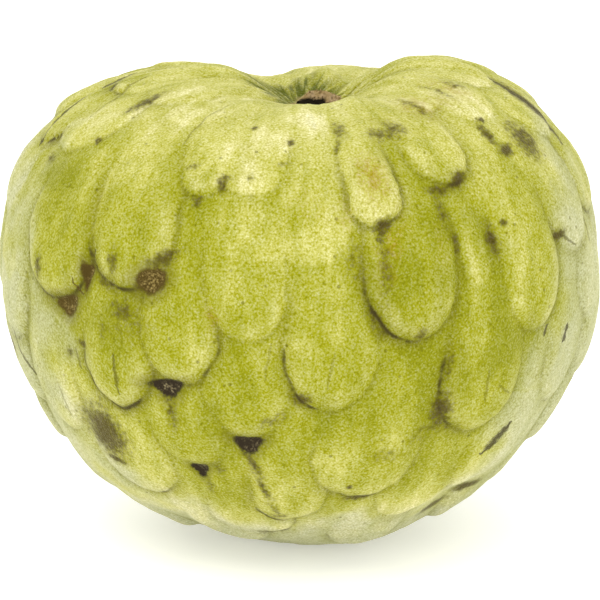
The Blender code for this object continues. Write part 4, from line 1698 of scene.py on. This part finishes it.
def make_scar_material():
    """Tan and pinkish cork on the ring, and nearly black in the pit: its own dark cork with painted shade."""
    material, tree, shader = new_material("stalk_scar_cork")
    place = object_place(tree)
    x, _, z = split(place)
    crumbs = uneven(place, CRUMB_SIZE, *CRUMB_NOISE)
    from_axis = off_axis(place)
    outer = smooth(from_axis + CRUMB_EDGE * crumbs, *OUTER_BAND)
    pit_line = PIT_LINE - PIT_LINE_DROP * smooth(x - STALK_OFFSET, *PIT_LINE_BAND)
    above = z - (MIDDLE_HEIGHT + STALK_RISE)
    ring = smooth(above - pit_line + CRUMB_EDGE * crumbs, -CRUMB_EDGE, CRUMB_EDGE)
    ring = maths("MAXIMUM", ring, smooth(from_axis, *RIM_ALWAYS))
    # below the pit line: the pit's own dark cork and painted shade deep in the pit
    cork = mix(ring, PIT_BLACK_AND_SHADE, RING_BROWN)
    cork = mix(outer * ring, cork, SCAR_TAN)
    pink = smooth(uneven(place, RING_FLECK_SIZE), *RING_FLECK_BAND)
    cork = mix(pink * ring * RING_FLECK_SHARE, cork, RING_PINK)
    cork = mix(smooth(-crumbs, *BROWN_FLECK_BAND) * ring * BROWN_FLECK_SHARE, cork, PIT_BROWN)
    cork = mix(smooth(crumbs, *LIGHT_FLECK_BAND) * ring * LIGHT_FLECK_SHARE, cork, RING_LIGHT)
    feed(shader.inputs["Base Color"], cork)
    shader.inputs["Roughness"].default_value = SCAR_ROUGHNESS
    shader.inputs["Specular IOR Level"].default_value = SCAR_GLOSS
    bump(shader, crumbs, CRUMB_BUMP, CRUMB_BUMP_STRENGTH)
    return material


scar_inputs = {
    "Points on a side": SCAR_SIDE_POINTS,
    "Fibre length": FIBRE_LENGTH,
    "Seed": FIBRE_SEED,
    "Scar material": make_scar_material(),
}
scar = grow("stalk_scar", make_scar_tree(), scar_inputs)
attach(scar, "root")
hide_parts("cherimoya_fruit")

# %% [markdown]
# ## Camera, floor and light
# The photograph looks down on the fruit by about 14 degrees with a long lens, on pure white and with hardly a
# shadow. A white world lights the fruit from all sides, a soft lamp from above on the left gives it form, and
# two weak ones fill the sides.

# %% The camera
PHOTO_PIXELS = 600
PHOTO_WIDTH = 0.10536
VIEW_DISTANCE = 0.55
VIEW_ELEVATION = math.radians(14.0)
MIDDLE_ABOVE_CENTRE = 38.8
SENSOR = 36.0
CLIP_START = 0.01

ahead = Vector((0.0, math.cos(VIEW_ELEVATION), -math.sin(VIEW_ELEVATION)))
upward = Vector((0.0, math.sin(VIEW_ELEVATION), math.cos(VIEW_ELEVATION)))
lens = bpy.data.cameras.new("photo_camera")
lens.sensor_width = SENSOR
lens.lens = SENSOR * VIEW_DISTANCE / PHOTO_WIDTH
lens.clip_start = CLIP_START
camera = bpy.data.objects.new("photo_camera", lens)
drop = MIDDLE_ABOVE_CENTRE / PHOTO_PIXELS * PHOTO_WIDTH
camera.location = Vector((0.0, 0.0, MIDDLE_HEIGHT)) - ahead * VIEW_DISTANCE - upward * drop
camera.rotation_euler = ahead.to_track_quat("-Z", "Y").to_euler()
bpy.context.scene.collection.objects.link(camera)
bpy.context.scene.camera = camera

# %% The floor
WHITE = (1.0, 1.0, 1.0, 1.0)
FLOOR_COLOUR = (0.93, 0.93, 0.93, 1.0)
FLOOR_ROUGHNESS = 0.9
FLOOR_GLOW = 0.30
FLOOR_HALF = 3.0


def make_floor():
    """A plain pale floor under the fruit."""
    material, _, shader = new_material("pale_floor")
    shader.inputs["Base Color"].default_value = FLOOR_COLOUR
    shader.inputs["Roughness"].default_value = FLOOR_ROUGHNESS
    shader.inputs["Emission Color"].default_value = WHITE
    shader.inputs["Emission Strength"].default_value = FLOOR_GLOW
    corners = [(FLOOR_HALF * x, FLOOR_HALF * y, 0) for x, y in ((-1, -1), (1, -1), (1, 1), (-1, 1))]
    mesh = bpy.data.meshes.new("floor")
    mesh.from_pydata(corners, [], [(0, 1, 2, 3)])
    mesh.materials.append(material)
    floor = bpy.data.objects.new("floor", mesh)
    bpy.context.scene.collection.objects.link(floor)


make_floor()

# %% The light
WORLD_STRENGTH = 1.3
Lamp = namedtuple("Lamp", "name place size watts")
LAMPS = [
    Lamp("key_softbox", (-0.25, -0.40, 0.85), 0.60, 1.8),
    Lamp("left_fill", (-0.45, -0.35, 0.10), 0.40, 0.4),
    Lamp("right_fill", (0.55, -0.25, 0.10), 0.50, 0.8),
]


def make_light():
    """A white world, and soft lamps that look at the fruit."""
    world = bpy.data.worlds.new("white_studio")
    world.use_nodes = True
    background = world.node_tree.nodes["Background"]
    background.inputs["Color"].default_value = WHITE
    background.inputs["Strength"].default_value = WORLD_STRENGTH
    bpy.context.scene.world = world
    for lamp in LAMPS:
        light = bpy.data.lights.new(lamp.name, "AREA")
        light.size = lamp.size
        light.energy = lamp.watts
        holder = bpy.data.objects.new(lamp.name, light)
        holder.location = lamp.place
        aim = Vector((0.0, 0.0, MIDDLE_HEIGHT)) - Vector(lamp.place)
        holder.rotation_euler = aim.to_track_quat("-Z", "Y").to_euler()
        bpy.context.scene.collection.objects.link(holder)


make_light()
bpy.context.scene.view_settings.view_transform = "Standard"
